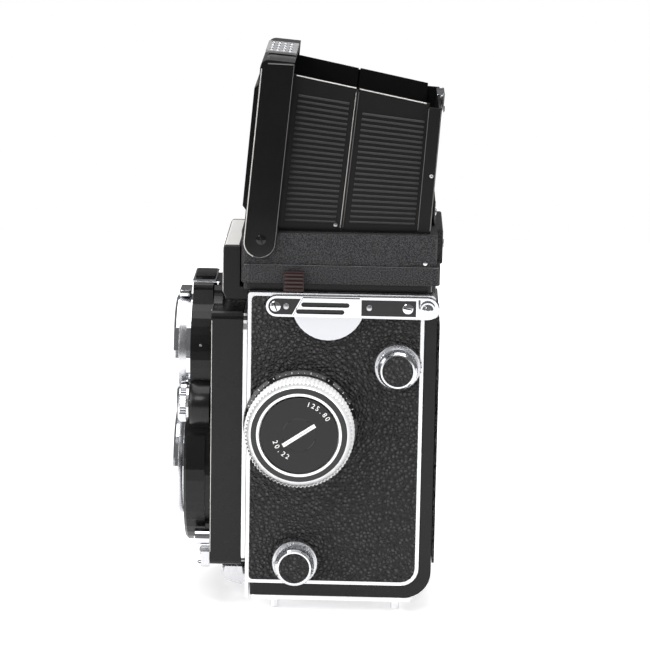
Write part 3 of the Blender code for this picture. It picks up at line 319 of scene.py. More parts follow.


# ==== Strap plates ==========================================================================
# Each chromed plate is held by two slotted screws and two rivets, with a bright stud in the rear
# boss, a bar for the strap and slots in its raised middle; painted shade darkens its recesses and slots.
def recessed_plate():
    """The strap plates: bright rims and middle, painted shade in the recesses and slots, a brushed half-moon.
    """
    look = Finish("recessed_strap_plate", (0.7, 0.7, 0.72), 0.14, metallic=1.0)
    out = look.x.math("ABSOLUTE")
    flat = out.math("GREATER_THAN", 39.4) * out.math("LESS_THAN", 39.8)
    band = (look.z - 122.3).math("ABSOLUTE").math("LESS_THAN", 3.1)
    slant = look.y - (look.z - 118.7) * 0.53
    nose = (look.y + 11.3) * (look.y + 11.3) + (look.z - 122.3) * (look.z - 122.3)
    ahead = look.y.math("GREATER_THAN", -11.3) * slant.math("LESS_THAN", -5.6)
    front = (ahead * band + nose.math("LESS_THAN", 9.6)).math("MINIMUM", 1.0)
    rear = (look.y - 31.4).math("ABSOLUTE").math("LESS_THAN", 10.4) * band
    slots = 0.0
    for y, z in ((7.3, 123.4), (5.4, 120.7)):
        slots = ((look.y - y).math("ABSOLUTE").math("LESS_THAN", 9.25)
                 * (look.z - z).math("ABSOLUTE").math("LESS_THAN", 0.95)) + slots
    slots = slots * out.math("LESS_THAN", 40.4) * out.math("GREATER_THAN", 39.4)
    # Painted shade: the recess floors in front and behind and the slots are coloured near black, where shade
    # falls.
    dark = ((front + rear) * flat + slots).math("MINIMUM", 1.0)
    look.between(dark, (0.74, 0.75, 0.78), (0.008, 0.008, 0.0085))
    look.drive("Metallic", 1.0 - dark)
    moon = look.z.math("LESS_THAN", 118.4)
    brushed = look.noise(0.9, 8.0) * 0.22
    look.drive("Roughness", 0.12 + moon * 0.16 + brushed * moon + dark * 0.2)
    look.bump(look.noise(3.0, 4.0), 0.004, 0.5)
    return look.material


def settle(piece, name, look, body, smooth=35.0):
    """Name a piece, put its place in its mesh, give it a finish and hang it on a CAD body."""
    nothing_selected()
    piece.select_set(True)
    bpy.context.view_layer.objects.active = piece
    bpy.ops.object.transform_apply(location=True, rotation=True, scale=True)
    if smooth:
        bpy.ops.object.shade_smooth_by_angle(angle=math.radians(smooth))
    piece.name = name
    piece.data.name = name
    piece.data.materials.clear()
    piece.data.materials.append(look)
    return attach(piece, body)


def bar(low, high, bevel_mm=0.0, segments=2):
    """A box between two corners in millimetres, its edges rounded with the bevel operator."""
    nothing_selected()
    middle = [(a + b) / 2 * MM for a, b in zip(low, high)]
    bpy.ops.mesh.primitive_cube_add(size=1.0, location=middle)
    piece = bpy.context.object
    piece.scale = [abs(b - a) * MM for a, b in zip(low, high)]
    bpy.ops.object.transform_apply(location=False, rotation=False, scale=True)
    if bevel_mm:
        bpy.ops.object.mode_set(mode="EDIT")
        bpy.ops.mesh.select_all(action="SELECT")
        bpy.ops.mesh.bevel(offset=bevel_mm * MM, segments=segments, affect="EDGES")
        bpy.ops.object.mode_set(mode="OBJECT")
    return piece


def stood(piece, centre, axis):
    """Point a piece's own Z along a signed axis name such as "+X", with its origin at a centre."""
    direction = {"X": Vector((1, 0, 0)), "Y": Vector((0, 1, 0)), "Z": Vector((0, 0, 1))}[axis[1]]
    direction = direction * (1 if axis[0] == "+" else -1)
    piece.rotation_euler = direction.to_track_quat("Z", "Y").to_euler()
    piece.location = Vector(centre) * MM


AXIS_RADIUS = 0.01


def turned(name, profile, centre, axis, look, body, steps=32, smooth=35.0):
    """A turned piece: a circle is drawn out along an axis by extrude and resize operators.

    The profile is (radius, distance along the axis) from one end to the other, and a profile that
    doesn't end on the axis is closed into a ring. The distance is 0 at the centre."""
    nothing_selected()
    ring = profile[-1][0] > AXIS_RADIUS * 2
    if ring:
        profile = profile + [profile[0]]
    first_radius, first_level = profile[0]
    bpy.ops.mesh.primitive_circle_add(vertices=steps, radius=max(first_radius, AXIS_RADIUS) * MM,
                                      fill_type="NOTHING" if ring else "NGON",
                                      location=(0.0, 0.0, first_level * MM))
    piece = bpy.context.object
    bpy.ops.object.transform_apply(location=True, rotation=False, scale=False)
    bpy.ops.object.mode_set(mode="EDIT")
    bpy.ops.mesh.select_all(action="SELECT")
    last_radius, last_level = max(first_radius, AXIS_RADIUS), first_level
    for radius, along in profile[1:]:
        radius = max(radius, AXIS_RADIUS)
        rise = (0.0, 0.0, (along - last_level) * MM)
        bpy.ops.mesh.extrude_region_move(TRANSFORM_OT_translate={"value": rise})
        share = radius / last_radius
        bpy.ops.transform.resize(value=(share, share, 1.0), center_override=(0.0, 0.0, along * MM))
        last_radius, last_level = radius, along
    bpy.ops.mesh.select_all(action="SELECT")
    if ring:
        bpy.ops.mesh.remove_doubles(threshold=0.000001)
    bpy.ops.mesh.normals_make_consistent(inside=False)
    bpy.ops.object.mode_set(mode="OBJECT")
    stood(piece, centre, axis)
    return settle(piece, name, look, body, smooth)


CHROME = filed(metal("bright_chrome", (0.72, 0.73, 0.76), 0.12))


def screw(name, centre, axis, radius_mm, body, look=CHROME, angle=30.0, dome_mm=0.5):
    """A slotted screw head: a low dome with a thin dark bar across it, painted shade for its saw cut."""
    turned(name, [(radius_mm, 0.0), (radius_mm, dome_mm * 0.35), (radius_mm * 0.8, dome_mm * 0.8),
                  (radius_mm * 0.4, dome_mm), (0.0, dome_mm)], centre, axis, look, body, 20)
    sign = 1 if axis[0] == "+" else -1
    along = "XYZ".index(axis[1])
    thin = (along + 1) % 3
    low, high = [-radius_mm * 0.86] * 3, [radius_mm * 0.86] * 3
    low[thin], high[thin] = -radius_mm * 0.11, radius_mm * 0.11
    low[along], high[along] = sorted((sign * dome_mm * 0.5, sign * (dome_mm + 0.05)))
    # Painted shade: the saw cut is not cut into the dome; a near-black bar stands where its shade falls.
    cut = bar(low, high, 0.03, 1)
    cut.rotation_euler[along] = math.radians(angle)
    cut.location = Vector(centre) * MM + cut.location
    return settle(cut, name + "_slot_shade", INNER_BLACK, body)


SIDES = (("left", 1, "+X"), ("right", -1, "-X"))
STRAP_FACE, STRAP_MIDDLE = 39.6, 122.3
dress(recessed_plate(), "left_strap_plate", "right_strap_plate")
for side_name, side, axis in SIDES:
    face = side * STRAP_FACE
    for number, y in enumerate((-11.7, 38.7)):
        screw(f"{side_name}_strap_screw_{number}", (face, y, STRAP_MIDDLE), axis, 2.0, "camera_body",
              angle=20 + 60 * number)
    for number, y in enumerate((-7.6, 24.0)):
        turned(f"{side_name}_strap_rivet_{number}", [(1.2, 0.0), (1.0, 0.35), (0.0, 0.5)],
               (face, y, STRAP_MIDDLE), axis, STEEL, "camera_body", 18)
    turned(f"{side_name}_strap_stud", [(2.2, 0.0), (2.2, 0.5), (1.2, 0.9), (1.2, 1.3), (0.0, 1.4)],
           (side * 41.7, 46.2, STRAP_MIDDLE), axis, CHROME, "camera_body", 24)
    settle(bar((face, 42.6, 118.9), (side * 40.6, 43.4, 125.7), 0.25), f"{side_name}_strap_bar", CHROME,
           "camera_body")


# ==== Door, latch and base ==================================================================
# The door is enamelled sheet on a pin. The latch's grip is ribbed; the base plate carries screws
# and a threaded tripod insert, and an empty frame is fixed to the leather behind.
def joined(pieces):
    """Several pieces made into one; they all take the last finish that is given."""
    nothing_selected()
    if len(pieces) == 1:
        return pieces[0]
    for piece in pieces:
        piece.select_set(True)
    bpy.context.view_layer.objects.active = pieces[0]
    bpy.ops.object.join()
    return bpy.context.object


def put(piece, shift=(0.0, 0.0, 0.0), degrees=0.0, about=(0.0, 0.0, 0.0), axis="X"):
    """Turn a piece about a point, and then shift it."""
    centre = Matrix.Translation(Vector(about) * MM)
    turned_by = centre @ Matrix.Rotation(math.radians(degrees), 4, axis) @ centre.inverted()
    piece.matrix_world = Matrix.Translation(Vector(shift) * MM) @ turned_by @ piece.matrix_world
    return piece


def with_copies(piece, places):
    """A list of the piece and of a copy with its own mesh for each place, put there from the piece."""
    made = [piece]
    for place in places:
        nothing_selected()
        piece.select_set(True)
        bpy.context.view_layer.objects.active = piece
        bpy.ops.object.duplicate(linked=False)
        made.append(put(bpy.context.object, **place))
    return made


SATIN = filed(metal("satin_plate", (0.6, 0.6, 0.62), 0.26))
PALE = filed(metal("pale_plate", (0.86, 0.86, 0.87), 0.36))
dress(ENAMEL, "back_door")
dress(STEEL, "door_hinge_pin")
dress(PALE, "base_plate")
dress(SATIN, "door_latch")

GRIP_PITCH, FRONT_RIB_PITCH = 1.15, 1.9
grip_rib = bar((-21.0, -32.1, 12.95), (21.0, -31.5, 13.45), 0.15)
grip = with_copies(grip_rib, [{"shift": (0.0, GRIP_PITCH * step, 0.0)} for step in range(1, 6)])
settle(joined(grip), "latch_grip_ribs", SATIN, "latch")
front_rib = bar((-20.4, -32.15, 9.7), (-19.4, -31.3, 12.9), 0.2)
front_ribs = with_copies(front_rib, [{"shift": (FRONT_RIB_PITCH * step, 0.0, 0.0)} for step in range(1, 22)])
settle(joined(front_ribs), "latch_front_ribs", SATIN, "latch")
for number, (x, y) in enumerate(((33.4, -16.4), (-33.4, -16.4), (33.4, 38.8), (-33.4, 38.8))):
    screw(f"base_screw_{number}", (x, y, 5.02), "-Z", 1.5, "door", STEEL, 20.0 + 35.0 * number, 0.3)
turned("tripod_insert", [(4.6, -0.02), (4.6, 0.12), (3.1, 0.12), (3.05, -0.5)], (0.0, 12.6, 0.14), "-Z",
       STEEL, "door", 32)
level_bar = bar((-24.0, 51.05, 56.0), (24.0, 51.45, 57.0), 0.1)
upright_bar = bar((-24.0, 51.05, 56.0), (-23.0, 51.45, 95.0), 0.1)
frame_bars = with_copies(level_bar, [{"shift": (0.0, 0.0, 38.0)}])
frame_bars += with_copies(upright_bar, [{"shift": (47.0, 0.0, 0.0)}])
settle(joined(frame_bars), "rear_table_frame", SATIN, "door")


# ==== Moving front and light meter ==========================================================
# The standard and its board are enamelled sheet with painted highlights along their edges, held by small
# screws, with a settings window above the lenses. The meter's cell sits under moulded lenslets.
def meter_case():
    """The meter's case: black enamel, with a pale ribbed top and rubbed front corners."""
    look = Finish("meter_case", (0.006, 0.006, 0.0065), 0.3, specular=0.25)
    inner = look.x.math("ABSOLUTE").math("LESS_THAN", 26.6)
    top = look.z.math("GREATER_THAN", 142.9) * inner * look.y.math("LESS_THAN", -26.4)
    corner = look.y.math("LESS_THAN", -32.2) * look.x.math("ABSOLUTE").math("GREATER_THAN", 28.0)
    ribs = (look.x * 2.6).math("SINE") * 0.5 + 0.5
    pale = (top * (0.78 + ribs * 0.22) + corner * (0.2 + look.noise(0.5, 5.0) * 0.5)).math("MINIMUM", 1.0)
    look.between(pale, (0.006, 0.006, 0.0065), (0.82, 0.8, 0.78))
    look.bump(look.noise(1.6, 3.0) + ribs * top * 3.0, 0.02, 0.6)
    look.drive("Roughness", 0.26 + look.noise(0.4) * 0.12)
    return look.material


def honeycomb():
    """The meter cell: rows of small moulded lenslets over a dark cell."""
    look = Finish("meter_cell_glass", (0.3, 0.32, 0.34), 0.12, coat=0.8)
    cells = look.x.math("MULTIPLY", 2.0).math("SINE") * look.z.math("MULTIPLY", 2.0).math("SINE")
    look.between(cells.math("ABSOLUTE"), (0.06, 0.065, 0.07), (0.5, 0.52, 0.54))
    look.bump(cells.math("ABSOLUTE"), 0.3, 0.8)
    return look.material


def lens_coat(name, tint, rim, through=0.92):
    """Polished glass: clear, with a painted coloured sheen towards the rim for the coating's reflection."""
    look = Finish(name, tint, 0.02, coat=1.0, specular=0.6)
    look.shader.inputs["Transmission Weight"].default_value = through
    look.shader.inputs["IOR"].default_value = 1.5
    # Painted reflection: the base colour moves from the tint to the coating's sheen colour as the surface
    # turns edge-on to the view.
    facing = look.tree.nodes.new("ShaderNodeLayerWeight")
    facing.inputs["Blend"].default_value = 0.3
    share = Value(look.tree, facing.outputs["Facing"])
    look.between(share, tint, rim)
    look.drive("Roughness", 0.012 + look.noise(0.2, 4.0) * 0.02)
    return look.material


def choose(piece, kind, wanted):
    """Select the faces or vertices of a piece that pass a test, and stay in edit mode."""
    bpy.ops.object.mode_set(mode="EDIT")
    bpy.ops.mesh.select_all(action="DESELECT")
    bpy.ops.object.mode_set(mode="OBJECT")
    for element in getattr(piece.data, kind):
        element.select = wanted(element)
    bpy.ops.object.mode_set(mode="EDIT")


def line_between(name, first, second, radius_mm, look, body, vertices=10):
    """A thin rod with stepped ends between two points, for a bead or for a painted highlight along an edge.
    """
    start, end = Vector(first) * MM, Vector(second) * MM
    nothing_selected()
    bpy.ops.mesh.primitive_cylinder_add(vertices=vertices, radius=radius_mm * MM,
                                        depth=(end - start).length, location=(start + end) / 2)
    piece = bpy.context.object
    piece.rotation_euler = (end - start).to_track_quat("Z", "Y").to_euler()
    choose(piece, "polygons", lambda face: len(face.vertices) > 4)
    bpy.ops.mesh.inset(thickness=radius_mm * 0.4 * MM)
    bpy.ops.object.mode_set(mode="OBJECT")
    return settle(piece, name, look, body)


CLEAR = filed(lens_coat("magnifier_glass", (0.97, 0.98, 0.98), (0.85, 0.9, 0.9)))
# Painted highlight: pale metal for thin beads along edges where light catches them.
BRIGHT_EDGE_HIGHLIGHT = filed(metal("bright_edge_highlight", (0.62, 0.6, 0.58), 0.34))
dress(ENAMEL, "lens_standard", "lens_board")
dress(meter_case(), "meter_housing")
dress(honeycomb(), "meter_cell")

settle(bar((-5.5, -50.6, 117.9), (5.5, -46.2, 120.7), 0.5), "settings_window", CHROME, "front")
settle(bar((-4.4, -50.72, 118.5), (4.4, -50.5, 120.1), 0.1), "settings_window_pane", CLEAR, "front")
settle(bar((-7.5, -44.2, 126.0), (7.5, -36.4, 127.2), 0.3), "board_top_cover", ENAMEL, "front")
settle(bar((-12.6, -45.1, 125.2), (12.6, -36.0, 126.0), 0.2), "board_top_shim", CHROME, "front")
turned("board_top_pin", [(1.0, 0.0), (1.0, 0.9), (0.6, 1.2), (0.0, 1.2)], (11.0, -35.2, 124.4), "+Z",
       CHROME, "front", 18)
for side_name, side, axis in SIDES:
    screw(f"{side_name}_board_flank_screw", (side * 24.4, -41.0, 102.5), axis, 1.0, "front", STEEL, 35.0, 0.4)
    # Painted highlights: pale beads along the standard's top and side edges.
    line_between(f"{side_name}_standard_top_wear", (side * 15.0, -36.5, 118.1), (side * 29.5, -36.5, 118.1),
                 0.16, BRIGHT_EDGE_HIGHLIGHT, "front")
    line_between(f"{side_name}_standard_side_wear", (side * 31.5, -36.3, 22.0), (side * 31.5, -36.3, 114.5),
                 0.14, BRIGHT_EDGE_HIGHLIGHT, "front")
for number, (x, z) in enumerate(((-28.0, 110.0), (28.0, 110.0), (-28.5, 88.5), (28.5, 88.5))):
    screw(f"standard_face_screw_{number}", (x, -36.5, z), "-Y", 1.2, "front", STEEL, 25.0 + 40.0 * number,
          0.35)


# ==== Lenses and shutter ====================================================================
# Chromed bayonet rings are turned with blackened, stepped throats round ground and coated glass,
# and the shutter's thin steel blades show behind the lower lens.
def figure(name, words, size_mm, centre, spin, look, body, axis="+X"):
    """Engraved and filled figures: a text curve turned into a thin mesh that faces along the axis."""
    nothing_selected()
    bpy.ops.object.text_add(location=(0.0, 0.0, 0.0))
    text = bpy.context.object
    text.data.body = words
    text.data.size = size_mm * MM
    text.data.align_x, text.data.align_y = "CENTER", "CENTER"
    text.data.extrude = 0.03 * MM
    bpy.ops.object.convert(target="MESH")
    text = bpy.context.object
    spun = Matrix.Rotation(math.radians(spin), 4, "Z")
    faces = {"+X": Matrix(((0, 0, 1), (1, 0, 0), (0, 1, 0))).to_4x4(),
             "-Y": Matrix(((1, 0, 0), (0, 0, -1), (0, 1, 0))).to_4x4(),
             "-X": Matrix(((0, 0, -1), (-1, 0, 0), (0, 1, 0))).to_4x4()}
    text.matrix_world = Matrix.Translation(Vector(centre) * MM) @ faces[axis] @ spun
    return settle(text, name, look, body, 0)


TAKING, VIEWING = (0.0, 0.0, 50.4), (0.0, 0.0, 96.9)
GLASS_EDGE, GLASS_RADIUS, GLASS_CENTRE = 13.2, 34.8, 14.3
LENSES = (
    ("viewing", VIEWING, 46.9, lens_coat("viewing_lens_glass", (0.05, 0.045, 0.06), (0.16, 0.1, 0.2), 0.55)),
    ("taking", TAKING, 48.0, lens_coat("taking_lens_glass", (0.035, 0.045, 0.07), (0.12, 0.09, 0.24), 0.55)),
)
dress(CHROME, "viewing_lens_ring", "taking_lens_ring")
dress(DARK, "shutter_housing")
for lens_name, centre, band_foot, coated in LENSES:
    turned(f"{lens_name}_ring_lip", [(20.1, 51.7), (19.4, 52.05), (18.2, 52.05), (17.8, 51.7)], centre, "-Y",
           CHROME, "front", 64)
    turned(f"{lens_name}_ring_band", [(20.95, band_foot), (21.15, 48.3), (21.15, 49.6), (20.95, 49.8)],
           centre, "-Y", SATIN, "front", 64)
    turned(f"{lens_name}_throat", [(16.3, 51.3), (15.9, 51.75), (14.9, 51.0), (14.4, 50.6), (14.3, 49.9),
                                   (13.7, 49.7), (13.6, 48.6)], centre, "-Y", DARK, "front", 56)
    for number, angle in enumerate((90.0, 210.0, 330.0)):
        t = math.radians(angle)
        figure(f"{lens_name}_ring_mark_{number}", "|", 1.9,
               (18.9 * math.cos(t), -52.08, centre[2] + 18.9 * math.sin(t)), angle - 90.0, INNER_BLACK,
               "front", "-Y")
    dome = [(r, GLASS_CENTRE + math.sqrt(GLASS_RADIUS ** 2 - r * r))
            for r in (GLASS_EDGE, 12.2, 10.8, 9.2, 7.4, 5.6, 3.8, 1.9, 0.0)]
    glass = turned(f"{lens_name}_lens_glass", [(GLASS_EDGE, 44.3)] + dome, centre, "-Y", coated, "front", 64,
                   60.0)
    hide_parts(f"{lens_name}_lens")
    turned(f"{lens_name}_cell_steps", [(13.3, 44.0), (12.4, 43.9), (12.2, 43.3), (10.6, 43.2), (10.4, 42.6),
                                       (8.6, 42.5), (8.4, 41.9), (7.0, 41.8), (7.0, 41.2), (13.3, 41.2)],
           centre, "-Y", DARK, "front", 56)

BLADES, BLADE_GAP = 5, 0.2
nothing_selected()
bpy.ops.mesh.primitive_circle_add(vertices=24, radius=8.6 * MM, fill_type="NGON",
                                  location=(6.6 * MM, 0.0, 0.0))
blade = bpy.context.object
bpy.ops.object.transform_apply(location=True, rotation=False, scale=False)
bpy.ops.object.mode_set(mode="EDIT")
bpy.ops.mesh.select_all(action="SELECT")
bpy.ops.mesh.extrude_region_move(TRANSFORM_OT_translate={"value": (0.0, 0.0, 0.15 * MM)})
bpy.ops.object.mode_set(mode="OBJECT")
put(put(blade, degrees=90.0), (0.0, -40.5, TAKING[2]))
blades = with_copies(blade, [{"shift": (0.0, BLADE_GAP * step, 0.0), "degrees": 360.0 / BLADES * step,
                              "about": TAKING, "axis": "Y"} for step in range(1, BLADES)])
settle(joined(blades), "shutter_blades", DARK, "front")


# ==== Setting wheels, release, flash socket and timer =======================================
# The wheels beside the lenses are turned and knurled, with a dished face and a white dot. The
# release has a dished tip, the flash socket a centre pin and the timer lever a round knob.
def knurled(name, centre, axis, radius_mm, low, high, teeth, depth_mm, look, body, slant=0.0):
    """A knurled band: a cylinder whose alternate edges are drawn in with the resize operator."""
    nothing_selected()
    bpy.ops.mesh.primitive_circle_add(vertices=teeth * 2, radius=radius_mm * MM, fill_type="NOTHING",
                                      location=(0.0, 0.0, low * MM))
    band = bpy.context.object
    bpy.ops.object.transform_apply(location=True, rotation=False, scale=False)
    choose(band, "vertices", lambda vertex: vertex.index % 2 == 0)
    share = 1.0 - depth_mm / radius_mm
    bpy.ops.transform.resize(value=(share, share, 1.0), center_override=(0.0, 0.0, low * MM))
    bpy.ops.mesh.select_all(action="SELECT")
    rows, chamfer_mm = 6, 0.5
    step = (high - low) / rows
    chamfer = 1.0 - chamfer_mm / radius_mm
    bpy.ops.transform.resize(value=(chamfer, chamfer, 1.0), center_override=(0.0, 0.0, low * MM))
    for row in range(rows):
        level = (low + step * (row + 1)) * MM
        bpy.ops.mesh.extrude_region_move(TRANSFORM_OT_translate={"value": (0.0, 0.0, step * MM)})
        if row == 0:
            bpy.ops.transform.resize(value=(1 / chamfer, 1 / chamfer, 1.0), center_override=(0.0, 0.0, level))
        if row == rows - 1:
            bpy.ops.transform.resize(value=(chamfer, chamfer, 1.0), center_override=(0.0, 0.0, level))
        if slant:
            bpy.ops.transform.rotate(value=math.radians(slant if row % 2 else -slant), orient_axis="Z",
                                     center_override=(0.0, 0.0, level))
    bpy.ops.mesh.select_all(action="SELECT")
    bpy.ops.mesh.normals_make_consistent(inside=False)
    bpy.ops.object.mode_set(mode="OBJECT")
    stood(band, centre, axis)
    return settle(band, name, look, body, 18.0)


WHITE = enamel("white_filling", 0.45, 0.004, (0.88, 0.88, 0.86), 0.0)
dress(SATIN, "aperture_wheel", "shutter_speed_wheel", "release_guard", "timer_lever")
dress(CHROME, "release_button", "flash_socket")
WHEEL_OUT, WHEEL_HEIGHT = 22.6, 79.5
for wheel_name, side in (("aperture", 1), ("speed", -1)):
    centre = (side * WHEEL_OUT, 0.0, WHEEL_HEIGHT)
    turned(f"{wheel_name}_wheel_boss", [(9.4, 37.2), (9.4, 43.6), (8.6, 44.8), (2.2, 44.9)], centre, "-Y",
           ENAMEL, "front", 40)
    knurled(f"{wheel_name}_wheel_knurl", centre, "-Y", 7.4, 45.9, 49.1, 40, 0.34, CHROME, wheel_name)
    turned(f"{wheel_name}_wheel_face", [(6.2, 49.4), (6.0, 49.9), (4.8, 49.9), (4.4, 49.65), (0.0, 49.65)],
           centre, "-Y", DARK, wheel_name, 32)
    turned(f"{wheel_name}_wheel_dot", [(0.6, 49.6), (0.5, 49.8), (0.0, 49.82)],
           (side * WHEEL_OUT, 0.0, WHEEL_HEIGHT + 2.7), "-Y", WHITE, wheel_name, 16)
turned("release_tip", [(3.0, 43.3), (2.7, 43.75), (1.9, 43.75), (1.6, 43.45), (0.0, 43.45)],
       (-26.3, 0.0, 24.4), "-Y", CHROME, "release", 24)
turned("flash_socket_pin", [(0.5, 39.7), (0.5, 42.2), (0.2, 42.5), (0.0, 42.5)], (26.3, 0.0, 26.6), "-Y",
       STEEL, "front", 14)
turned("timer_lever_knob", [(1.1, 39.9), (1.1, 41.0), (0.7, 41.5), (0.0, 41.5)], (26.6, 0.0, 15.8), "-Y",
       CHROME, "timer", 18)
turned("timer_lever_cap", [(1.7, 39.9), (1.7, 40.3), (1.2, 40.7), (0.0, 40.7)], (26.6, 0.0, 21.0), "-Y",
       STEEL, "timer", 20)


# ==== Focusing knob and film dial ===========================================================
# The knob is turned from bright metal and its rim is knurled; a white ring runs round the gloss
# dial, whose bar and generic numbers are filled. Distance marks run round the ring behind it.
def knob_look():
    """The focusing knob: bright rim, dark band behind it and a white ring round the dial."""
    look = Finish("focus_knob_plate", (0.82, 0.82, 0.84), 0.22, metallic=1.0)
    radius = ((look.y + 1.6) * (look.y + 1.6) + (look.z - 75.6) * (look.z - 75.6)).math("SQRT")
    face = look.x.math("GREATER_THAN", 53.2)
    dark = radius.math("LESS_THAN", 18.35) * face
    look.between(dark, (0.93, 0.93, 0.94), (0.008, 0.008, 0.009))
    look.drive("Metallic", (1.0 - dark) * 0.35)
    look.drive("Roughness", 0.2 + look.noise(0.4) * 0.1)
    return look.material


GLOSS = filed(enamel("gloss_black_enamel", 0.14, 0.004, (0.005, 0.005, 0.0055), 0.3))
KNURL = filed(metal("knurled_plate", (0.95, 0.95, 0.95), 0.42, 0.003, 0.25))
# Painted highlight: dim grey metal for thin beads along edges that catch less light.
DIM_EDGE_HIGHLIGHT = filed(metal("dim_edge_highlight", (0.16, 0.155, 0.15), 0.36))
dress(knob_look(), "focus_knob")
dress(GLOSS, "film_speed_dial", "focus_scale_ring")

KNOB = (0.0, -1.6, 75.6)
BAR_SLOPE = 33.7
knurled("focus_knob_knurl", KNOB, "+X", 21.05, 44.6, 53.95, 84, 0.8, KNURL, "focus_drive", 1.07)
turned("focus_knob_white_ring", [(16.25, 54.05), (16.25, 54.3), (15.3, 54.3), (15.3, 53.6)], KNOB, "+X",
       WHITE, "focus_drive", 64)
turned("film_dial_disc", [(6.6, 54.38), (6.5, 54.5), (6.2, 54.5), (6.1, 54.42), (0.0, 54.42)], KNOB, "+X",
       GLOSS, "film_dial", 48)
dial_bar = put(bar((54.35, -8.9, 74.85), (54.72, 5.7, 76.35), 0.1), degrees=BAR_SLOPE, about=KNOB)
settle(dial_bar, "film_dial_bar", WHITE, "film_dial")
groove = put(bar((54.7, -7.9, 75.45), (54.76, 4.7, 75.75), 0.02, 1), degrees=BAR_SLOPE, about=KNOB)
settle(groove, "film_dial_bar_groove", STEEL, "film_dial")
FIGURES = (("125.80", 74.0, -8.4, 12.6, -90.0), ("20.22", 197.0, 11.5, 9.4, 90.0))
for words, start, step, radius, upright in FIGURES:
    for number, sign in enumerate(words):
        angle = start + step * number
        t = math.radians(angle)
        figure(f"film_dial_{words[0]}_{number}", sign, 2.7,
               (54.45, KNOB[1] + radius * math.cos(t), KNOB[2] + radius * math.sin(t)), angle + upright,
               WHITE, "film_dial")

MARKS, FIRST_MARK, MARK_STEP = 22, 20.0, 6.6
marks = []
for first, length in ((0, 0.7), (1, 0.28), (2, 0.28)):
    foot = KNOB[1] + 20.9
    mark = bar((40.5, foot, KNOB[2] - 0.11), (40.8, foot + length, KNOB[2] + 0.11), 0.03, 1)
    put(mark, degrees=FIRST_MARK + MARK_STEP * first, about=KNOB)
    marks += with_copies(mark, [{"degrees": MARK_STEP * step, "about": KNOB}
                                for step in range(3, MARKS - first, 3)])
settle(joined(marks), "focus_scale_marks", WHITE, "camera_body")
# Painted highlight: a dim bead round the outer edge of the scale ring.
turned("focus_scale_edge", [(21.8, 38.9), (21.95, 39.2), (21.8, 39.5)], KNOB, "+X", DIM_EDGE_HIGHLIGHT, "camera_body", 64)


# ==== Spool knobs and crank =================================================================
# The two small knobs have knurled rims round a leather disc, in bezels held by tiny screws and
# notched at the edge. The crank's hub has a slotted cap and its handle is ribbed.
dress(CHROME, "upper_spool_knob", "lower_spool_knob")
dress(SATIN, "upper_spool_bezel", "lower_spool_bezel", "film_crank", "crank_handle")
dress(GLOSS, "crank_plate")
TICKS = 30
for level_name, y, z in (("upper", 35.3, 99.6), ("lower", -2.9, 20.9)):
    body = f"{level_name}_knob"
    centre = (0.0, y, z)
    knurled(f"{level_name}_knob_knurl", centre, "+X", 7.62, 41.2, 46.6, 44, 0.38, CHROME, body)
    turned(f"{level_name}_knob_disc", [(5.9, 47.2), (5.9, 47.55), (5.5, 47.75), (0.0, 47.8)], centre, "+X",
           LEATHER, body, 36)
    turned(f"{level_name}_knob_rim", [(6.75, 47.35), (6.55, 47.65), (6.0, 47.7), (5.95, 47.3)], centre, "+X",
           CHROME, body, 36)
    for number, angle in enumerate((60.0, 180.0, 300.0)):
        t = math.radians(angle)
        screw(f"{level_name}_bezel_screw_{number}", (40.5, y + 8.0 * math.cos(t), z + 8.0 * math.sin(t)),
              "+X", 0.55, "camera_body", STEEL, angle, 0.2)
    tick = bar((38.9, y + 8.85, z - 0.14), (40.2, y + 9.22, z + 0.14), 0.03, 1)
    ticks = with_copies(tick, [{"degrees": 360.0 / TICKS * step, "about": centre}
                               for step in range(1, TICKS)])
    settle(joined(ticks), f"{level_name}_bezel_ticks", DARK, "camera_body")

CRANK = (0.0, 15.0, 86.0)
HANDLE_ANGLE, HANDLE_RIB_PITCH = -128.0, 1.9
turned("crank_cap", [(8.6, 46.3), (8.6, 46.8), (8.0, 47.1), (2.2, 47.1), (2.0, 46.9), (0.0, 46.9)], CRANK,
       "-X", CHROME, "crank", 36)
knurled("crank_hub_knurl", CRANK, "-X", 12.25, 41.6, 45.4, 60, 0.3, SATIN, "crank")
handle_rib = bar((-54.55, CRANK[1] + 15.6, CRANK[2] - 2.0), (-54.2, CRANK[1] + 16.5, CRANK[2] + 2.0), 0.12)
handle_ribs = with_copies(handle_rib, [{"shift": (0.0, HANDLE_RIB_PITCH * step, 0.0)}
                                       for step in range(1, 7)])
for rib in handle_ribs:
    put(rib, degrees=HANDLE_ANGLE, about=CRANK)
settle(joined(handle_ribs), "crank_handle_ribs", DARK, "handle")


# ==== Hood base and its latches =============================================================
# The base is a casting in wrinkle paint, riveted, with a painted highlight along its step. A ribbed slide
# of brown-black moulding on each side lets the hood go.
def wrinkled():
    """Crackle-finish paint: fine wrinkles of a third of a millimetre."""
    look = Finish("wrinkle_paint", (0.02, 0.02, 0.022), 0.5, specular=0.25)
    height = look.noise(3.2, 6.0) + look.cells(2.4) * 0.6
    look.bump(height, 0.35, 1.0)
    look.drive("Roughness", 0.42 + look.noise(1.5) * 0.25)
    specks = ((look.noise(2.2, 3.0) - 0.42) * 6.0).math("MAXIMUM", 0.0).math("MINIMUM", 1.0)
    look.between(specks, (0.006, 0.006, 0.0065), (0.05, 0.048, 0.052))
    return look.material


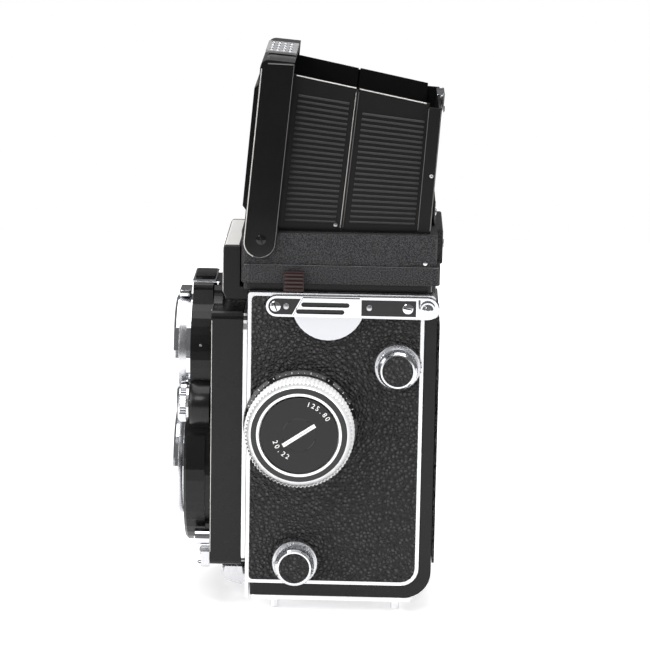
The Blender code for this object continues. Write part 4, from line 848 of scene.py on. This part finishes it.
WRINKLE = filed(wrinkled())
BROWN = filed(enamel("brown_black_moulding", 0.2, 0.01, (0.022, 0.008, 0.007), 0.4))
dress(WRINKLE, "hood_base")
dress(BROWN, "left_hood_latch", "right_hood_latch")
for side_name, side, axis in SIDES:
    turned(f"{side_name}_base_rivet", [(0.9, 0.0), (0.8, 0.3), (0.0, 0.42)], (side * 34.2, 44.9, 139.0), axis,
           CHROME, "hood", 16)
    # Painted highlight: a dim bead along the base's step.
    line_between(f"{side_name}_base_step_wear", (side * 34.7, -24.0, 137.34), (side * 34.7, 50.0, 137.34),
                 0.13, DIM_EDGE_HIGHLIGHT, "hood")
    slide_rib = bar((side * 36.8, -8.6, 128.0), (side * 37.6, -1.3, 128.95), 0.3)
    slide_ribs = with_copies(slide_rib, [{"shift": (0.0, 0.0, rise)} for rise in (1.5, 3.0, 4.5, 5.9)])
    settle(joined(slide_ribs), f"{side_name}_hood_latch_ribs", BROWN, f"{side_name}_hood_slide")
for number, x in enumerate((-13.0, 13.0)):
    screw(f"base_boss_screw_{number}", (x, 51.7, 143.0), "+Y", 1.7, "hood", STEEL, 15.0 + 50.0 * number)


# ==== Hood back =============================================================================
# The back is a folded black sheet that leans forward, with painted highlights along its flanges. It carries
# the chromed catch for the folded hood and a blackened spring plate with two screws.
BACK_LEAN = math.radians(3.9)
BACK_FLANGE = 31.1


def back_point(along, over):
    """A point of the back panel's side view, up its outer face and forward of it."""
    return (46.6 + along * math.sin(BACK_LEAN) - over * math.cos(BACK_LEAN),
            150.0 + along * math.cos(BACK_LEAN) + over * math.sin(BACK_LEAN))


LEAF_BLACK = enamel("leaf_black", 0.3, 0.006, (0.007, 0.007, 0.0075), 0.2)
dress(LEAF_BLACK, "hood_back")
for side_name, side, axis in SIDES:
    flange = side * BACK_FLANGE
    screw(f"{side_name}_back_screw", (side * 31.15, *back_point(22.0, 1.6)), axis, 0.7, "hood", STEEL, 60.0,
          0.3)
    # Painted highlights: dim beads along the outer and inner edges of each flange.
    line_between(f"{side_name}_back_edge", (flange, *back_point(1.0, 0.2)), (flange, *back_point(47.6, 0.2)),
                 0.2, DIM_EDGE_HIGHLIGHT, "hood")
    line_between(f"{side_name}_back_inner_edge", (flange, *back_point(1.0, 4.9)),
                 (flange, *back_point(47.6, 4.9)), 0.13, DIM_EDGE_HIGHLIGHT, "hood")
catch = bar((-9.0, 48.4, 190.0), (9.0, 49.3, 200.6), 0.3)
catch.rotation_euler[0] = -BACK_LEAN
catch.location = catch.location + Vector((0.0, 0.0016, 0.0))
settle(catch, "back_catch", CHROME, "hood")
settle(bar((-9.0, 48.2, 199.6), (9.0, 51.2, 200.4), 0.3), "back_catch_lip", CHROME, "hood")
turned("back_catch_pin", [(1.3, 0.0), (1.3, 1.6), (1.0, 2.0), (0.0, 2.0)], (0.0, 49.5, 193.5), "+Y", DARK,
       "hood", 20)
settle(bar((-14.0, 47.7, 150.0), (14.0, 48.6, 159.6), 0.25), "back_spring_plate", DARK, "hood")
for number, x in enumerate((-9.0, 9.0)):
    screw(f"back_spring_screw_{number}", (x, 48.6, 154.5), "+Y", 1.5, "hood", angle=40.0 + 70.0 * number)


# ==== Hood lid, flap and magnifier ==========================================================
# The lid is pressed sheet in gloss enamel, with painted highlights along its side flanges, on a pivot screw
# each side. The lift plate on top has rows of pips; the magnifier is a glass in a dark frame.
LID_LEAN = math.radians(5.05)
LID_FLANGE, FOOT_RADIUS = 35.66, 5.9


def lid_point(along, over):
    """A point of the lid's side view, along it from its foot and across it to the rear."""
    return (-18.2 + along * math.sin(LID_LEAN) + over * math.cos(LID_LEAN),
            146.15 + along * math.cos(LID_LEAN) - over * math.sin(LID_LEAN))


def edge_run(name, points, radius_mm, look, body):
    """A thin bead that follows a run of points, for a painted highlight along an edge."""
    beads = [line_between(f"{name}_{n}", first, second, radius_mm, look, body, 8)
             for n, (first, second) in enumerate(zip(points, points[1:]))]
    return settle(joined(beads), name, look, body)


dress(GLOSS, "hood_lid", "finder_flap")
dress(PALE, "lid_lift_plate")
dress(DARK, "magnifier_frame")
dress(CLEAR, "magnifier_lens")
for side_name, side, axis in SIDES:
    foot = [(-FOOT_RADIUS * math.sin(math.radians(a)), -FOOT_RADIUS * math.cos(math.radians(a)))
            for a in range(0, 181, 12)]
    outline = [(66.0, -5.8), (1.0, -FOOT_RADIUS)] + foot + [(1.0, FOOT_RADIUS)]
    points = [(side * LID_FLANGE, *lid_point(along, over)) for along, over in outline]
    # Painted highlights: a pale bead down the front edge and round part of the foot, dim beads round the rest
    # of the foot and along the rear and top edges.
    edge_run(f"{side_name}_lid_front_edge", points[:9], 0.26, BRIGHT_EDGE_HIGHLIGHT, "hood")
    edge_run(f"{side_name}_lid_foot_edge", points[8:], 0.16, DIM_EDGE_HIGHLIGHT, "hood")
    edge_run(f"{side_name}_lid_rear_edge", [points[-1], (side * LID_FLANGE, *lid_point(68.9, 6.2))], 0.14,
             DIM_EDGE_HIGHLIGHT, "hood")
    edge_run(f"{side_name}_lid_top_edge", [(side * LID_FLANGE, *lid_point(68.2, -3.6)),
                                           (side * LID_FLANGE, *lid_point(68.7, 6.0))], 0.3, DIM_EDGE_HIGHLIGHT, "hood")
    screw(f"{side_name}_lid_pivot_screw", (side * 35.72, *lid_point(1.0, 0.5)), axis, 1.9, "hood", GLOSS,
          20.0, 0.4)

PIP_COLUMNS, PIP_ROWS = (-11.0, -3.7, 3.7, 11.0), (-3.6, -1.2, 1.2, 3.6)
centres = [Vector((x, *lid_point(70.75, over))) for x in PIP_COLUMNS for over in PIP_ROWS]
nothing_selected()
bpy.ops.mesh.primitive_uv_sphere_add(segments=10, ring_count=6, radius=0.75 * MM, location=centres[0] * MM)
pip = bpy.context.object
pip.scale = (1.0, 1.0, 0.5)
pips = with_copies(pip, [{"shift": centre - centres[0]} for centre in centres[1:]])
settle(joined(pips), "lift_plate_pips", CHROME, "hood")


# ==== Hood leaves ===========================================================================
# Each of the four side leaves is a thin sheet pressed with fine level ribs inside a plain margin, and the
# ribs are painted lighter than the sheet as painted light. A folded bead runs down the hinge line between the
# two leaves of a side, with painted highlights beside it and along the leaves' tops.
RIB_PITCH, LEAF_FACE = 2.08, 29.8
# Painted light: the ribs are coloured lighter than the leaf sheet, for the light that catches their upper
# slopes.
RIB_PAINTED_LIGHTER = enamel("rib_painted_lighter_grey", 0.42, 0.01, (0.03, 0.03, 0.032), 0.2)
dress(LEAF_BLACK, "left_front_leaf", "left_rear_leaf", "right_front_leaf", "right_rear_leaf")


def edge_y(foot_y, z, lean):
    """Where a leaf's sloping edge stands at a height."""
    return foot_y + (z - 150.0) * lean


def leaf_ribs(side_name, side, part):
    """Rows of low half-round ribs across one leaf, fanning from level at the foot to the top's slope."""
    front = part == "front"
    rows, foot, first, last = (24, 154.0, 1.4, 8.3) if front else (21, 153.7, 0.8, 6.6)
    start_y, end_y = (-9.4, 10.0) if front else (15.4, 40.3)
    start_lean, end_lean = (0.0925, 0.0966) if front else (0.0966, 0.070)
    made = []
    for row in range(rows):
        fall = math.tan(math.radians(first + (last - first) * row / (rows - 1)))
        z = foot + row * RIB_PITCH
        start, end = edge_y(start_y, z, start_lean), edge_y(end_y, z, end_lean)
        middle = Vector((side * LEAF_FACE, (start + end) / 2, z - (end - start) / 2 * fall)) * MM
        nothing_selected()
        bpy.ops.mesh.primitive_cylinder_add(vertices=8, radius=0.52 * MM, depth=(end - start) * MM,
                                            location=middle)
        rib = bpy.context.object
        rib.rotation_euler = (math.radians(90.0) - math.atan(fall), 0.0, 0.0)
        choose(rib, "polygons", lambda face: abs(face.normal.z) > 0.9)
        bpy.ops.mesh.bevel(offset=0.25 * MM, segments=2, affect="EDGES")
        bpy.ops.object.mode_set(mode="OBJECT")
        rib.scale = (0.95, 1.0, 1.0)
        made.append(rib)
    return settle(joined(made), f"{side_name}_{part}_leaf_ribs", RIB_PAINTED_LIGHTER, f"{side_name}_{part}_fold")


for side_name, side, axis in SIDES:
    fold = f"{side_name}_front_fold"
    leaf_ribs(side_name, side, "front")
    leaf_ribs(side_name, side, "rear")
    face = side * (LEAF_FACE + 0.12)
    line_between(f"{side_name}_leaf_hinge", (face, 12.75, 150.6), (face, 17.95, 204.4), 0.42, LEAF_BLACK,
                 fold)
    # Painted highlights: a pale bead in front of the hinge bead and a dim one behind it.
    for tag, shift, look in (("fore", -0.5, BRIGHT_EDGE_HIGHLIGHT), ("aft", 0.5, DIM_EDGE_HIGHLIGHT)):
        line_between(f"{side_name}_leaf_hinge_{tag}_wear", (face + side * 0.2, 12.75 + shift, 151.5),
                     (face + side * 0.2, 17.9 + shift, 203.4), 0.13, look, fold)
    # Painted highlights: pale beads along the top edges of the front and rear leaves.
    line_between(f"{side_name}_leaf_top_front", (side * 29.75, -5.2, 209.3), (side * 29.75, 17.4, 204.9),
                 0.22, BRIGHT_EDGE_HIGHLIGHT, fold)
    line_between(f"{side_name}_leaf_top_rear", (side * 29.75, 18.7, 204.6), (side * 29.75, 44.0, 199.6),
                 0.22, BRIGHT_EDGE_HIGHLIGHT, f"{side_name}_rear_fold")
    turned(f"{side_name}_leaf_rivet", [(0.8, 0.0), (0.7, 0.35), (0.0, 0.5)], (side * LEAF_FACE, 10.4, 152.4),
           axis, STEEL, fold, 16)
